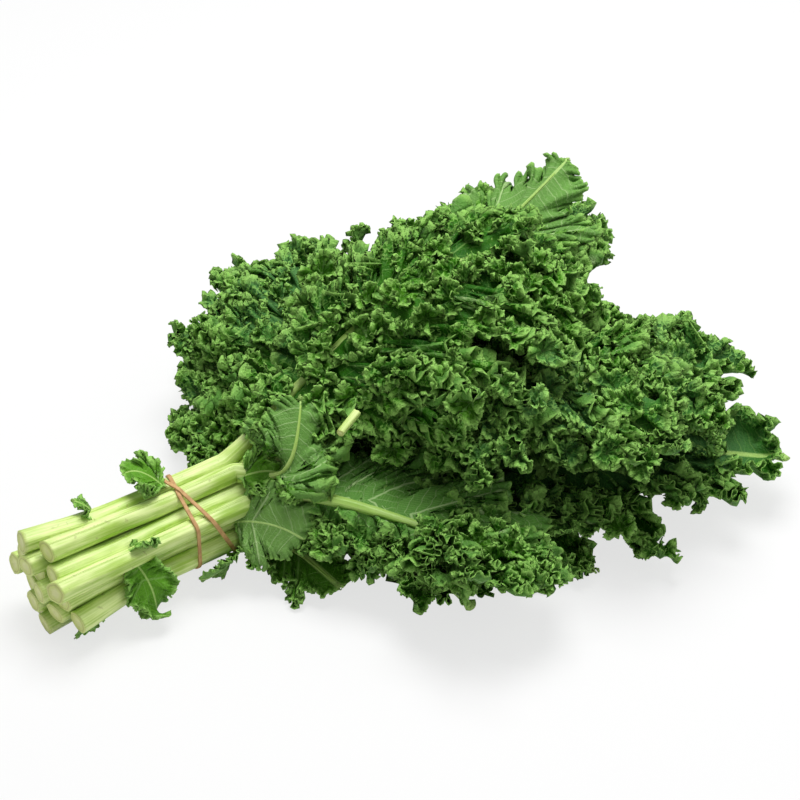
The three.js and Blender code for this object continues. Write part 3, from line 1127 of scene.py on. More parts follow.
@dataclass
class RubberBand:
    """One endless band wound twice round the stalks, its second turn leaning away along them."""

    width: float = 2.5
    thickness: float = 1.1
    clearance: float = 0.15  # from the stalks, and from turn to turn where they cross
    lean: float = 15.0  # half of how far the second turn leans away
    gap: float = 2.25  # half of the distance between the turns' middles
    steps: int = 560
    samples: int = 2880  # places round the stalks at which the two turns are worked out
    ring_radius: float = 10.0  # of the plain ring that is bent into the band
    seed: int = 7

    def _path(self) -> tuple[Array, Array]:
        """The middle of the band over its two turns.

        Returns:
            Points, and the outward direction at each.
        """
        share = np.arange(self.samples) / self.samples * 2
        angle = math.pi / 2 - FULL_TURN * share
        places = np.array(BUNDLE.places())
        facing = np.stack([np.cos(angle), np.sin(angle)], 1)
        outermost = places[(facing @ places.T).argmax(1)]
        crossing = np.minimum(share, 2 - share)
        hump = (self.thickness + self.clearance) * (1 - ease(crossing, 0.04, 0.12))
        out = BUNDLE.grip_radius + self.clearance + self.thickness / 2 + hump
        yz = outermost + facing * out[:, None]
        run = arc_lengths(yz)
        run = run / run[-1] * 2
        second = 1 - ease(np.abs((run + 1.5) % 2 - 1), 0.44, 0.56)
        lean = np.where(run > 1, self.lean * (1 - np.cos(FULL_TURN * run)), 0.0)
        x = -self.gap + 2 * self.gap * second + lean
        points = np.column_stack([x, yz[:, 0], BUNDLE.axis_height + yz[:, 1]])
        closed = np.vstack([points, points[:1]])
        s = arc_lengths(closed)
        at = np.linspace(0, s[-1], self.steps, endpoint=False)
        points = np.stack([np.interp(at, s, closed[:, k]) for k in range(3)], 1)
        away = np.vstack([facing, facing[:1]])
        level = np.zeros(self.steps)
        outward = unit(np.column_stack([level] + [np.interp(at, s, away[:, k]) for k in range(2)]))
        for _ in range(3):
            points = (np.roll(points, 1, 0) + 2 * points + np.roll(points, -1, 0)) / 4
        return points, outward

    def mesh(self, name: str) -> bpy.types.Mesh:
        """Build the band.

        Args:
            name: Name of the mesh.

        Returns:
            The closed mesh, with its attributes.
        """
        ring = bmesh.new()
        bmesh.ops.create_grid(ring, x_segments=1, y_segments=1, size=1)
        for vert in ring.verts:
            vert.co = Vector((self.ring_radius + vert.co.x, 0, vert.co.y))
        bmesh.ops.bevel(ring, geom=ring.verts[:], offset=0.5, offset_type="OFFSET", affect="VERTICES",
                        segments=3, profile=0.5, material=-1)
        section = ring.faces[:]
        bmesh.ops.spin(ring, geom=[*ring.edges], cent=(0, 0, 0), axis=(0, 0, 1), angle=FULL_TURN,
                       steps=self.steps, use_merge=True)
        bmesh.ops.delete(ring, geom=[f for f in section if f.is_valid], context="FACES_ONLY")
        bmesh.ops.remove_doubles(ring, verts=ring.verts[:], dist=1e-5)
        bmesh.ops.recalc_face_normals(ring, faces=ring.faces[:])
        mesh = mesh_of(ring, name)
        co = read_places(mesh)
        turn = np.arctan2(co[:, 1], co[:, 0]) / FULL_TURN
        k = np.rint(turn * self.steps).astype(int) % self.steps
        points, outward = self._path()
        along = unit(np.roll(points, -1, 0) - np.roll(points, 1, 0))
        across = unit(np.cross(outward, along))
        out = unit(np.cross(along, across))
        breadth = 1 + 0.06 * wander(np.random.default_rng(self.seed), np.arange(self.steps), 60)
        radial = np.hypot(co[:, 0], co[:, 1]) - self.ring_radius
        placed = points[k] + across[k] * (co[:, 2] * self.width / 2 * breadth[k])[:, None]
        placed = placed + out[k] * (radial * self.thickness / 2)[:, None]
        return shape_mesh(mesh, placed, along=k / self.steps, across=co[:, 2])


# ---- Finishes ----------------------------------------------------------------------------------------

Colour = tuple[float, float, float]


class Signal:
    """A socket that carries a value, with arithmetic that adds the Math nodes."""

    def __init__(self, graph: "Graph", socket: bpy.types.NodeSocket) -> None:
        """Wrap a socket of a graph."""
        self.graph = graph
        self.socket = socket

    def _math(self, operation: str, *values: Any) -> "Signal":
        """Add one Math node.

        Args:
            operation: The node's operation.
            values: Its inputs, signals or numbers.

        Returns:
            The result.
        """
        node = self.graph.node("ShaderNodeMath", {"operation": operation}, dict(enumerate(values)))
        return Signal(self.graph, node.outputs[0])

    def __add__(self, other: Any) -> "Signal":
        """Sum."""
        return self._math("ADD", self, other)

    __radd__ = __add__

    def __sub__(self, other: Any) -> "Signal":
        """Difference."""
        return self._math("SUBTRACT", self, other)

    def __rsub__(self, other: Any) -> "Signal":
        """Reflected difference."""
        return self._math("SUBTRACT", other, self)

    def __mul__(self, other: Any) -> "Signal":
        """Product."""
        return self._math("MULTIPLY", self, other)

    __rmul__ = __mul__

    def __truediv__(self, other: Any) -> "Signal":
        """Quotient."""
        return self._math("DIVIDE", self, other)

    def __abs__(self) -> "Signal":
        """Size without sign."""
        return self._math("ABSOLUTE", self)

    def fraction(self) -> "Signal":
        """Part after the decimal point."""
        return self._math("FRACT", self)

    def greatest(self, other: Any) -> "Signal":
        """The greater of two."""
        return self._math("MAXIMUM", self, other)

    def between(self, low: float, high: float) -> "Signal":
        """Rise smoothly from 0 at low to 1 at high, or fall where low is the greater.

        Args:
            low: The value that gives 0.
            high: The value that gives 1.

        Returns:
            The result, kept from 0 to 1.
        """
        inputs = {"Value": self, "From Min": low, "From Max": high}
        node = self.graph.node("ShaderNodeMapRange", {"interpolation_type": "SMOOTHSTEP"}, inputs)
        return Signal(self.graph, node.outputs[0])


class Graph:
    """The nodes of one material."""

    def __init__(self, name: str) -> None:
        """Start a material with a Principled shader.

        Args:
            name: Name of the material.
        """
        self.material = bpy.data.materials.new(name)
        self.material.use_nodes = True
        self.tree = self.material.node_tree
        self.shader = self.tree.nodes["Principled BSDF"]

    def node(self, kind: str, settings: dict[str, Any] | None = None,
             inputs: dict[Any, Any] | None = None) -> Any:
        """Add a node.

        Args:
            kind: The node's type.
            settings: Its own properties, set first.
            inputs: Values or links of its sockets, by name or number.

        Returns:
            The node.
        """
        node = self.tree.nodes.new(kind)
        for key, value in (settings or {}).items():
            setattr(node, key, value)
        for key, value in (inputs or {}).items():
            self.feed(node.inputs[key], value)
        return node

    def feed(self, socket: bpy.types.NodeSocket, value: Any) -> None:
        """Give a socket a link or a value.

        Args:
            socket: The socket to feed.
            value: A signal, a socket, a number or a colour.
        """
        if isinstance(value, Signal):
            value = value.socket
        if isinstance(value, bpy.types.NodeSocket):
            self.tree.links.new(value, socket)
        elif isinstance(value, tuple) and len(value) == 3 and socket.type == "RGBA":
            socket.default_value = (*value, 1.0)
        else:
            socket.default_value = value

    def attribute(self, name: str) -> Signal:
        """A value stored on the mesh."""
        return Signal(self, self.node("ShaderNodeAttribute", {"attribute_name": name}).outputs["Fac"])

    def place(self, **axes: Signal) -> Any:
        """A vector socket from values for X, Y and Z."""
        return self.node("ShaderNodeCombineXYZ", None, axes).outputs[0]

    def spot(self) -> Any:
        """The place on the object."""
        return self.node("ShaderNodeTexCoord").outputs["Object"]

    def noise(self, scale: float, detail: float = 2.0, at: Any = None) -> Signal:
        """Smooth noise around a half.

        Args:
            scale: Features for each unit of the vector.
            detail: Octaves of finer noise.
            at: Vector to look it up by; the place on the object if none is given.

        Returns:
            The noise.
        """
        inputs = {"Vector": self.spot() if at is None else at, "Scale": scale, "Detail": detail}
        return Signal(self, self.node("ShaderNodeTexNoise", None, inputs).outputs[0])

    def blend(self, share: Any, first: Any, second: Any) -> Any:
        """A colour between two.

        Args:
            share: How much of the second, from 0 to 1.
            first: First colour.
            second: Second colour.

        Returns:
            The colour's socket.
        """
        node = self.node("ShaderNodeMix", {"data_type": "RGBA"}, {0: share, 6: first, 7: second})
        return node.outputs[2]

    def layers(self, base: Any, layers: Sequence[tuple[Any, Any]]) -> Any:
        """Blend several colours over one.

        Args:
            base: The lowest colour.
            layers: How much of each further colour, from 0 to 1, and the colour, lowest first.

        Returns:
            The colour's socket.
        """
        for share, colour in layers:
            base = self.blend(share, base, colour)
        return base

    def bump(self, height: Signal, distance: float, strength: float, under: Any = None) -> Any:
        """A Bump node.

        Args:
            height: Height of the relief, 0 to 1.
            distance: What a height of 1 stands for, metres.
            strength: How much of it shows.
            under: Normal of a coarser relief below it.

        Returns:
            The normal's socket.
        """
        inputs = {"Height": height, "Distance": distance, "Strength": strength}
        if under is not None:
            inputs["Normal"] = under
        return self.node("ShaderNodeBump", None, inputs).outputs[0]

    def finish(self, **inputs: Any) -> bpy.types.Material:
        """Feed the shader and hand over the material.

        Args:
            inputs: Values or links of the shader's sockets, underscores standing for spaces.

        Returns:
            The material.
        """
        for key, value in inputs.items():
            self.feed(self.shader.inputs[key.replace("_", " ")], value)
        return self.material


@dataclass(frozen=True)
class LeafFinish:
    """Skin of a blade: deep green above, greyer below, with pale veins and margins whose paleness is
    partly painted highlight, and painted shade in its crinkles' hollows with painted highlight on their
    crests.
    """

    name: str = "kale_blade"
    deep: Colour = (0.014, 0.105, 0.002)
    # painted shade for the hollows of the crinkles
    hollow_shade: Colour = (0.005, 0.040, 0.001)
    fresh: Colour = (0.066, 0.262, 0.006)
    light: Colour = (0.160, 0.400, 0.026)
    bloom: Colour = (0.096, 0.255, 0.085)
    light_below: Colour = (0.250, 0.440, 0.120)
    # pale margin green: partly the edges' own colour, partly painted highlight; also painted as highlight
    # on the crinkles' crests
    margin: Colour = (0.32, 0.60, 0.13)
    vein: Colour = (0.24, 0.44, 0.11)
    below: Colour = (0.085, 0.225, 0.034)
    below_vein: Colour = (0.42, 0.60, 0.26)
    rib: Colour = (0.44, 0.66, 0.18)
    vein_pitch: float = 8.0
    twig_pitch: float = 3.1

    def material(self) -> bpy.types.Material:
        """Build the material.

        Returns:
            The material.
        """
        g = Graph(self.name)
        rim, under, young = g.attribute("rim"), g.attribute("underside"), g.attribute("young")
        midrib = abs(g.attribute("rib_off")).between(2.6, 1.2)
        veins = self._veins(g, rim, midrib)
        patch, speckle = g.noise(38, 3), g.noise(420, 3)
        # crinkle pattern: drives the folds' bump and the painted shade and highlight that follow it
        curl = abs(g.noise(235, 1.2) - 0.5)
        curly = rim.between(0.0, 0.4) * (1 - young * 0.8) * (1 - 0.5 * under)
        top = g.blend((patch * 0.9 + speckle * 0.35).between(0.42, 0.86), self.deep, self.fresh)
        top = g.layers(top, (
            (rim.between(0.75, 0.0) * (0.6 - young * 0.6), self.deep),
            (young * 0.6, self.light),
            (g.noise(9, 1).between(0.5, 0.66) * 0.6, self.bloom),
            # painted shade in the crinkles' hollows, where the folds' bump is lowest
            (curl.between(0.07, 0.2) * curly * 0.7, self.hollow_shade),
            # painted highlight on the crinkles' crests, where the folds' bump is highest, in the pale
            # margin green
            (curl.between(0.055, 0.015) * curly * 0.55, self.margin),
            # pale rims: partly the margin's own colour, partly painted highlight
            (rim.between(0.62, 1.0) * 0.9, self.margin),
            (veins * 0.55, self.vein),
        ))
        brighter = tuple(1.35 * channel for channel in self.below)
        bottom = g.blend((patch * 0.8 + speckle * 0.4).between(0.4, 0.85), self.below, brighter)
        bottom = g.layers(bottom, (
            (young * 0.5, self.light_below),
            (veins * 0.8, self.below_vein),
            # pale rims below: partly the margin's own colour, partly painted highlight
            (rim.between(0.75, 1.0) * 0.7, self.margin),
        ))
        skin = g.layers(top, ((under, bottom), (midrib * 0.7, self.rib)))
        inputs = {"Vector": g.spot(), "Scale": 520.0}
        cells = g.node("ShaderNodeTexVoronoi", {"feature": "DISTANCE_TO_EDGE"}, inputs)
        quilt = Signal(g, cells.outputs["Distance"]).between(0.0, 0.22)
        relief = quilt * 0.5 + g.noise(900, 2) * 0.2 + (under * 2 - 1) * veins * 0.8
        folds = g.bump(curl.between(0.22, 0.0) * curly, 0.0016, 0.7)
        normal = g.bump(relief, 0.0006, 0.55, folds)
        roughness = 0.40 + 0.22 * speckle + 0.08 * under
        return g.finish(Base_Color=skin, Roughness=roughness, Normal=normal, Specular_IOR_Level=0.14)

    def _veins(self, g: Graph, rim: Signal, midrib: Signal) -> Signal:
        """The veins, from the midrib down to the twigs.

        Args:
            g: The material's graph.
            rim: How near the margin a place is.
            midrib: Where the midrib is.

        Returns:
            How much of a vein a place is.
        """
        along, off = g.attribute("vein_along"), g.attribute("vein_off")
        stray = g.noise(160, 2) - 0.5
        side = abs(off + stray * 1.6)
        main = side.between(0.95, 0.25)
        branch_step = ((along - side * 1.1 + stray * 3.0) / self.vein_pitch).fraction()
        branch = (abs(branch_step - 0.5) * self.vein_pitch).between(0.55, 0.12)
        twig_step = ((along + side * 1.7 + stray * 4.0) / self.twig_pitch).fraction()
        twig = (abs(twig_step - 0.5) * self.twig_pitch).between(0.5, 0.1)
        veins = main.greatest(branch * 0.6).greatest(twig * 0.22) * rim.between(0.9, 0.2)
        return veins.greatest(midrib)


@dataclass(frozen=True)
class StalkFinish:
    """Skin of a stalk: pale and fibrous, with a moist cut end."""

    name: str = "kale_stalk"
    pale: Colour = (0.79, 0.92, 0.375)
    light: Colour = (0.38, 0.60, 0.07)
    green: Colour = (0.27, 0.50, 0.07)
    cut: Colour = (0.68, 0.76, 0.24)
    pith: Colour = (0.82, 0.86, 0.40)
    scar: Colour = (0.30, 0.28, 0.10)

    def material(self) -> bpy.types.Material:
        """Build the material.

        Returns:
            The material.
        """
        g = Graph(self.name)
        along, turn = g.attribute("along"), g.attribute("turn")
        cut, core, green = g.attribute("cut"), g.attribute("core"), g.attribute("green")
        fibres = g.noise(1.0, 3, g.place(X=along * 0.02, Y=turn * 26, Z=core))
        broad = g.noise(1.0, 2, g.place(X=along * 0.035, Y=turn * 5, Z=core * 2))
        skin = g.blend((broad * 0.7 + fibres * 0.6).between(0.44, 0.82), self.light, self.pale)
        ends = g.blend((core + g.noise(500, 2) * 0.3).between(0.35, 0.8), self.pith, self.cut)
        ends = g.blend(abs(core - 0.78).between(0.10, 0.02) * 0.35, ends, self.scar)
        flecks = g.noise(260, 2).between(0.66, 0.74) * 0.35
        skin = g.layers(skin, ((green * 0.75, self.green), (flecks, self.scar), (cut, ends)))
        relief = fibres * 0.7 + g.noise(300, 2) * 0.3
        normal = g.bump(relief, 0.0008, 0.6)
        return g.finish(Base_Color=skin, Roughness=0.34 + 0.2 * broad + 0.15 * cut, Normal=normal)


@dataclass(frozen=True)
class BandFinish:
    """Tan rubber, slightly dusty, with painted shade along the edges of its width."""

    name: str = "tan_rubber"
    tan: Colour = (0.66, 0.40, 0.17)
    dark: Colour = (0.48, 0.26, 0.10)

    def material(self) -> bpy.types.Material:
        """Build the material.

        Returns:
            The material.
        """
        g = Graph(self.name)
        across = abs(g.attribute("across"))
        cloud = g.noise(240, 3)
        skin = g.blend(cloud.between(0.35, 0.7), self.dark, self.tan)
        # painted shade towards both edges of the band's width
        skin = g.blend(across.between(0.7, 1.0) * 0.5, skin, self.dark)
        normal = g.bump(g.noise(1500, 2), 0.0002, 0.5)
        return g.finish(Base_Color=skin, Roughness=0.5 + 0.25 * cloud, Normal=normal)


# ---- Leaves ------------------------------------------------------------------------------------------


@dataclass(frozen=True)
class Tier:
    """One blade of a leaf: the outer one, or a narrower crowd of lobes standing on it."""

    growth: Growth
    weave: Weaves
    width: float = 1.0  # in the leaf's half widths
    early: float = 20.0  # how far before the leaf's own blade it starts, mm
    lift: float = 0.0  # how far it stands off the midrib, mm
    flip: float = 0.0  # 180 where it stands on the underside
    skip: float = 0.0  # share of the blade's length that it leaves bare at the foot
    crowd: Crowd | None = None


HIDDEN = (Tier(Growth.CUPPED, Weaves.LIGHT, crowd=Crowd(18, 16.0, (8.0, 12.0))),)
PLAIN = (Tier(Growth.CUPPED, Weaves.LIGHT, crowd=Crowd(56, 13.0, (8.0, 11.5))),)
FRONT_CROWD = Crowd(76, 12.0, (8.0, 11.5), clear=2.0, reach=(0.0, 0.86))
CROWDED = (Tier(Growth.CUPPED, Weaves.MEDIUM, crowd=FRONT_CROWD),)
BACK = (Tier(Growth.CUPPED, Weaves.LIGHT, crowd=Crowd(66, 12.5, (8.0, 11.5), clear=2.0)),)
MOSSED = (Tier(Growth.MOSSY, Weaves.LIGHT, crowd=Crowd(96, 11.0, (7.5, 11.0), clear=0.5)),)
BARED = (Tier(Growth.OPEN, Weaves.MEDIUM, early=10.0),)
UPPER_HALF = Tier(Growth.CUPPED, Weaves.LIGHT, 0.9, 0.0, lift=6.0, flip=180.0, skip=0.55, crowd=Crowd(20))
HALF_BARED = (*BARED, UPPER_HALF)
FAN = (Tier(Growth.OPEN, Weaves.LIGHT, early=6.0),)
SMALL = (Tier(Growth.TENDER, Weaves.SMALL, early=14.0),)


@dataclass(frozen=True)
class Leaflet:
    """A ragged little blade that grows from the side of a stalk."""

    SLENDER = 3.2  # how slender its pale midrib is
    YOUNG = 0.85  # how light its green is

    foot: Point
    tip: Point
    bow: Point  # how far the middle stands off the straight line
    half: float
    roll: float
    arch: float = 20.0
    weave: Weaves = Weaves.TINY

    def mesh(self, name: str, seed: int) -> bpy.types.Mesh:
        """Build the leaflet.

        Args:
            name: Name of the mesh.
            seed: Seed of its random shapes.

        Returns:
            The closed shell.
        """
        foot, tip, bow = (np.array(p, float) for p in (self.foot, self.tip, self.bow))
        way = tip - foot
        points = bezier([foot, foot + way * 0.35 + bow, foot + way * 0.7 + bow, tip], 60)
        blade = Blade(Line(points), 0.0, (self.half, self.half), self.roll, self.arch, 0.0,
                      Growth.TENDER.value, self.weave.weave(), seed)
        return blade.mesh(name, self.SLENDER, self.YOUNG)


@dataclass
class Leaf:
    """One leaf as it grew: its stalk and midrib, and its frilled blade."""

    SPREAD_POINTS = 200  # on the line beyond the band

    name: str
    row: int
    column: int
    fan: float  # the way that it points, degrees from +X towards +Y
    reach: float  # from the band to its tip, mm
    crown: float  # height of its line half way beyond the band, mm
    tip: float  # height of its tip, mm
    start: float  # from the band to the foot of its blade, mm
    half: float  # half width of its blade, mm
    roll: float  # turn about its midrib, degrees
    arch: float  # how far each half droops, degrees
    trim: float  # how much shorter it is cut, mm
    tiers: tuple[Tier, ...]
    seed: int
    sides: tuple[float, float] = (1.0, 1.0)  # widths of the -lateral and +lateral sides, in half widths
    leaflets: tuple[Leaflet, ...] = ()
    early: float = 0.0  # how much further back along the stalk its lobes start, mm
    rib: float = FOOT_RADIUS  # radius of the midrib at the blade's foot, mm
    young: float = 0.0  # how light its green is
    spur: tuple[Point, ...] = ()  # ends of a torn-off side stalk that lies with the leaf
    course: tuple[Point, ...] = ()  # its own shoulder, bend and tip, where it twists

    def line(self) -> tuple[Line, float]:
        """The line that the leaf follows from its cut end to its tip.

        Returns:
            The line, and the distance along it at which the blade starts.
        """
        y, rise = BUNDLE.place(self.row, self.column)
        z = BUNDLE.axis_height + rise
        splay = BUNDLE.splay
        cut = np.array([BUNDLE.cut_x + self.trim, y * splay, BUNDLE.axis_height + rise * splay])
        grip_start = np.array([BUNDLE.grip_start, y, z])
        grip_end = np.array([BUNDLE.grip_end, y, z])
        pull = (BUNDLE.grip_start - cut[0]) / 3
        near_cut = np.array([cut[0] + pull, cut[1] + (y - cut[1]) * 0.45, cut[2] + (z - cut[2]) * 0.45])
        splayed = bezier([cut, near_cut, [BUNDLE.grip_start - pull, y, z], grip_start], 40)
        held = grip_start + (grip_end - grip_start) * np.linspace(0, 1, 20)[1:, None]
        spread = bezier([grip_end, *self._control_points(y, z)], self.SPREAD_POINTS)
        points = np.vstack([splayed, held, spread[1:]])
        share = (self.start - BUNDLE.grip_end) / (self.reach - BUNDLE.grip_end)
        along = arc_lengths(points)
        first = len(splayed) + len(held) - 1
        start = float(np.interp(first + share * (self.SPREAD_POINTS - 1), np.arange(len(along)), along))
        return Line(points), start

    def _control_points(self, y: float, z: float) -> Array:
        """The leaf's shoulder, bend and tip.

        Args:
            y: Where its stalk is under the band.
            z: Height of its stalk there.

        Returns:
            The control points beyond the band, one a row.
        """
        if self.course:
            return np.array(self.course, float)
        fan = math.radians(self.fan)
        tip = np.array([self.reach * math.cos(fan), y + self.reach * math.sin(fan), self.tip])
        run = (self.reach - BUNDLE.grip_end) * BUNDLE.shoulder
        shoulder = np.array([BUNDLE.grip_end + run, y, z + (self.crown - z) * 0.3])
        bend_height = (self.crown - (z + 3 * shoulder[2] + tip[2]) / 8) * 8 / 3
        bend = np.append(shoulder[:2] + (tip[:2] - shoulder[:2]) * 0.45, bend_height)
        return np.array([shoulder, bend, tip])

    def build(self, blade: bpy.types.Material, stalk: bpy.types.Material, burr: Burr) -> bpy.types.Object:
        """Build the leaf as one piece.

        Args:
            blade: Finish of the blade.
            stalk: Finish of the stalk.
            burr: The disc that its tufts start as.

        Returns:
            The piece.
        """
        line, start = self.line()
        parts = []
        for k, tier in enumerate(self.tiers):
            halves = tuple(self.half * tier.width * side for side in self.sides)
            foot = start - tier.early - self.early + tier.skip * (line.length - start)
            surface = Blade(line, foot, halves, self.roll + tier.flip, self.arch, tier.lift,
                            tier.growth.value, tier.weave.weave(), self.seed + 100 * k)
            slender = FOOT_RADIUS / self.rib if k == 0 else 0.0
            parts.append((surface.mesh(f"{self.name}_blade_{k}", slender, self.young), blade))
            if tier.crowd:
                tufts = Tufts(surface, tier.crowd, burr, self.seed + 100 * k + 50)
                parts.append((tufts.mesh(f"{self.name}_tufts_{k}"), blade))
        for k, leaflet in enumerate(self.leaflets):
            parts.append((leaflet.mesh(f"{self.name}_leaflet_{k}", self.seed + 900 + k), blade))
        rod = Stalk(line, start, self.roll, self.seed + 500, foot_radius=self.rib)
        parts.append((rod.mesh(f"{self.name}_stalk"), stalk))
        if self.spur:
            spur = Stalk(Line(np.array(self.spur, float)), 60.0, 0.0, self.seed + 600, grip_radius=3.0,
                         foot_radius=3.0, tip_radius=2.8, end_share=1.0, segments=24, rings=16,
                         cut_slant=0.5, cut_radius=2.6)
            parts.append((spur.mesh(f"{self.name}_spur"), stalk))
        return join_parts(f"kale_{self.name}", parts)


def join_parts(name: str, parts: Sequence[tuple[bpy.types.Mesh, bpy.types.Material]]) -> bpy.types.Object:
    """Make one object of several meshes.

    Args:
        name: Name of the object.
        parts: Each mesh with its finish.

    Returns:
        The object, at the origin.
    """
    objects = []
    for mesh, material in parts:
        mesh.materials.clear()
        mesh.materials.append(material)
        objects.append(add_object(mesh.name, mesh))
    whole = objects[0]
    if len(objects) > 1:
        with bpy.context.temp_override(active_object=whole, object=whole, selected_objects=objects,
                                       selected_editable_objects=objects):
            bpy.ops.object.join()
    whole.name = name
    return whole


LEAVES = (
    Leaf("leaf_01", 0, 0, -39, 252, 7, 3, 88, 60, 3, 16, 0, HIDDEN, 11, (0.68, 1.0)),
    Leaf("leaf_02", 0, 1, 45, 280, 9, 4, 104, 60, -4, 18, 5, HIDDEN, 12, (1.0, 0.8)),
    Leaf("leaf_03", 1, 0, -48, 88, 19, 12, 54, 17, 12, 18, 8, SMALL, 13, (1.5, 1.5), young=0.45, leaflets=(
        Leaflet((-69, -17, 10), (-86, -20, 3), (0, -3, 2), 9, 40),
        Leaflet((31, -25, 22), (-4, -30, 12), (0, -6, -2), 13, 50),
    )),
    Leaf("leaf_04", 1, 1, -25, 381, 36, 26, 134, 76, 10, 14, 2, CROWDED, 14, (0.83, 1.0)),
    Leaf("leaf_05", 1, 2, 16, 326, 54, 46, 110, 54, -4, 20, -2, PLAIN, 15),
    Leaf("leaf_06", 1, 3, 48, 124, 27, 17, 66, 25, -10, 18, 6, HIDDEN, 16, early=-20),
    Leaf("leaf_07", 2, 0, -54, 173, 40, 20, 84, 46, 14, 18, 4, CROWDED, 17, (0.55, 1.0), (
        Leaflet((-46, -22, 44), (-40, -37, 6), (2, -6, 6), 15, 20),
        Leaflet((28, -20, 35), (50, -64, 37), (0, -3, 9), 23, 232, 0, Weaves.SMALL),
    )),
    Leaf("leaf_08", 2, 1, -17, 384, 71, 54, 144, 54, 8, 22, -3, CROWDED, 18, (1.15, 0.66)),
    Leaf("leaf_09", 2, 2, 4, 374, 98, 82, 142, 52, 7, 20, 7, PLAIN, 19, (0.85, 0.78)),
    Leaf("leaf_10", 2, 3, 45, 196, 48, 38, 84, 38, -16, 18, 0, BACK, 20, (1.0, 0.65), early=-20),
    Leaf("leaf_11", 3, 0, -48, 222, 52, 34, 62, 38, 192, -8, -4, HALF_BARED, 21, (1.3, 0.3), (
        Leaflet((-32, -21, 49), (-47, -23, 52), (0, -3, 4), 8, 30),
    ), course=((50, -30, 60), (85, -85, 62), (149, -183, 34))),
    Leaf("leaf_12", 3, 1, -30, 330, 98, 74, 138, 52, 12, 22, 3, MOSSED, 22,
         spur=((82, -59, 99.5), (98, -55, 105.5))),
    Leaf("leaf_13", 3, 2, 8, 372, 119, 136, 200, 38, 198, -4, -5, BARED, 23, (0.9, 1.3),
         course=((130, 4, 92), (250, 16, 122), (334, 30, 157)), rib=2.6, young=0.4),
    Leaf("leaf_14", 3, 3, 33, 264, 70, 62, 108, 50, -8, 20, 2, BACK, 24),
    Leaf("leaf_15", 4, 0, -36, 100, 84, 106, 71, 31, 205, -6, 5, FAN, 25, (1.0, 0.85), (
        Leaflet((41, -10, 57), (60, -30, 60), (2, -4, 8), 12, 30),
    ), course=((62, -22, 56), (46, -60, 70), (84, -16, 102)), rib=1.4, young=0.5),
    Leaf("leaf_16", 4, 1, -11, 288, 136, 114, 108, 62, 6, 24, -2, MOSSED, 26, (1.35, 0.75), (
        Leaflet((-50, 11, 61), (-60, 17, 70), (0, 0, 3), 8, 0),
        Leaflet((-4, 4, 62), (-24, 18, 72), (0, 2, 8), 15, -10),
    ), early=22, rib=3.0),
)


# ---- Studio ------------------------------------------------------------------------------------------


@dataclass(frozen=True)
class Lamp:
    """A square soft light that faces the bunch."""

    name: str
    place: Point  # metres
    size: float
    power: float


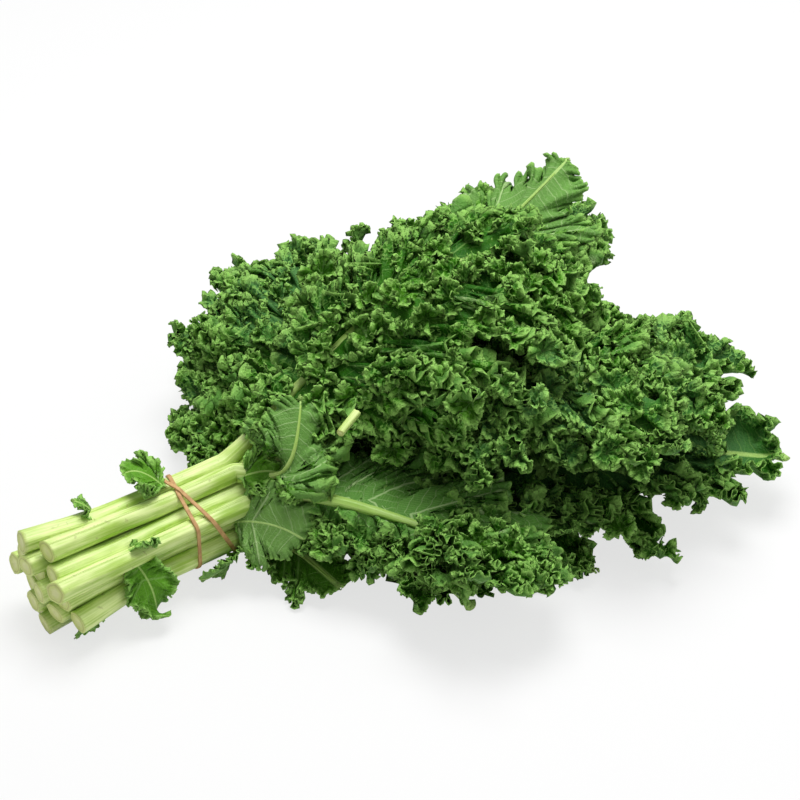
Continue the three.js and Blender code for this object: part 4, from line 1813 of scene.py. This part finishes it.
@dataclass(frozen=True)
class Studio:
    """Camera, floor and soft lights."""

    azimuth: float = -38.0
    elevation: float = 35.0
    distance: float = 1.6
    lens: float = 118.8
    aim: Point = (0.0, 0.0, 34.0)  # a point on the bundle's axis near the band
    aim_place: tuple[float, float] = (-224.0, -125.0)  # that point from the picture's middle, in steps
    steps_per_mm: float = 1.65  # how many steps a millimetre takes up there
    floor_half: float = 6.0  # half of the floor's width, metres
    floor_glow: float = 0.72  # share of plain white in what the camera sees of the floor
    ambient: float = 0.34
    centre: Point = (0.02, 0.0, 0.07)  # what the lamps face, metres
    lamps: tuple[Lamp, ...] = (
        Lamp("key", (0.28, 0.20, 1.6), 1.0, 27.5),
        Lamp("fill", (1.1, -1.0, 1.0), 1.6, 4.5),
    )

    def camera(self) -> None:
        """Add the camera."""
        a, e = math.radians(self.azimuth), math.radians(self.elevation)
        back = Vector((math.sin(a) * math.cos(e), -math.cos(a) * math.cos(e), math.sin(e)))
        right = Vector((math.cos(a), math.sin(a), 0))
        up = back.cross(right)
        target = Vector((np.array(self.aim) + OFFSET) * MM)
        across, high = (steps / self.steps_per_mm * MM for steps in self.aim_place)
        target -= right * across + up * high
        data = bpy.data.cameras.new("camera")
        data.lens = self.lens
        camera = add_object("camera", data)
        camera.location = target + back * self.distance
        camera.rotation_euler = back.to_track_quat("Z", "Y").to_euler()
        bpy.context.scene.camera = camera

    def floor(self) -> None:
        """Add the white floor."""
        plane = bmesh.new()
        bmesh.ops.create_grid(plane, x_segments=1, y_segments=1, size=self.floor_half)
        mesh = mesh_of(plane, "floor")
        floor = add_object("floor", mesh)
        g = Graph("white_floor")
        g.finish(Base_Color=(0.82, 0.82, 0.82), Roughness=0.9)
        seen = self._seen(g)
        glow = g.node("ShaderNodeEmission", None, {"Color": (1.0, 1.0, 1.0), "Strength": 1.0})
        share = seen * self.floor_glow
        mix = g.node("ShaderNodeMixShader", None, {0: share, 1: g.shader.outputs[0], 2: glow.outputs[0]})
        g.tree.links.new(mix.outputs[0], g.tree.nodes["Material Output"].inputs["Surface"])
        mesh.materials.append(g.material)

    def _seen(self, graph: Graph) -> Signal:
        """Tell what the camera sees, straight, mirrored or through glass.

        Args:
            graph: The graph to add the nodes to.

        Returns:
            1 for what it sees, 0 for what only the light meets.
        """
        path = graph.node("ShaderNodeLightPath")
        kinds = ("Camera", "Glossy", "Transmission")
        straight, mirrored, through = (Signal(graph, path.outputs[f"Is {kind} Ray"]) for kind in kinds)
        return straight.greatest(mirrored).greatest(through)

    def light(self) -> None:
        """Add the lamps and the world."""
        for lamp in self.lamps:
            data = bpy.data.lights.new(lamp.name, "AREA")
            data.size, data.energy = lamp.size, lamp.power
            light = add_object(lamp.name, data)
            light.location = lamp.place
            away = light.location - Vector(self.centre)
            light.rotation_euler = away.to_track_quat("Z", "Y").to_euler()
        world = bpy.data.worlds.new("world")
        bpy.context.scene.world = world
        world.use_nodes = True
        nodes, links = world.node_tree.nodes, world.node_tree.links
        path = nodes.new("ShaderNodeLightPath")
        lit, seen = nodes["Background"], nodes.new("ShaderNodeBackground")
        for background, strength in ((lit, self.ambient), (seen, 1.0)):
            background.inputs["Color"].default_value = (1, 1, 1, 1)
            background.inputs["Strength"].default_value = strength
        mix = nodes.new("ShaderNodeMixShader")
        links.new(path.outputs["Is Camera Ray"], mix.inputs[0])
        links.new(lit.outputs[0], mix.inputs[1])
        links.new(seen.outputs[0], mix.inputs[2])
        links.new(mix.outputs[0], nodes["World Output"].inputs["Surface"])
        bpy.context.scene.view_settings.view_transform = "Standard"


def main() -> None:
    """Build the bunch and its studio in order."""
    logging.basicConfig(level=logging.INFO, format="%(name)s: %(message)s")
    studio = Studio()
    studio.camera()
    blade, stalk, rubber = LeafFinish().material(), StalkFinish().material(), BandFinish().material()
    burr = Burr()
    for leaf in LEAVES:
        piece = leaf.build(blade, stalk, burr)
        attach(piece, "root")
        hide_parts(leaf.name)
        LOG.info("%s: %d faces", piece.name, len(piece.data.polygons))
    band = join_parts("kale_band", [(RubberBand().mesh("kale_band"), rubber)])
    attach(band, "root")
    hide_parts("rubber_band")
    LOG.info("%s: %d faces", band.name, len(band.data.polygons))
    studio.floor()
    studio.light()
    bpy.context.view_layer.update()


if __name__ == "__main__":
    main()
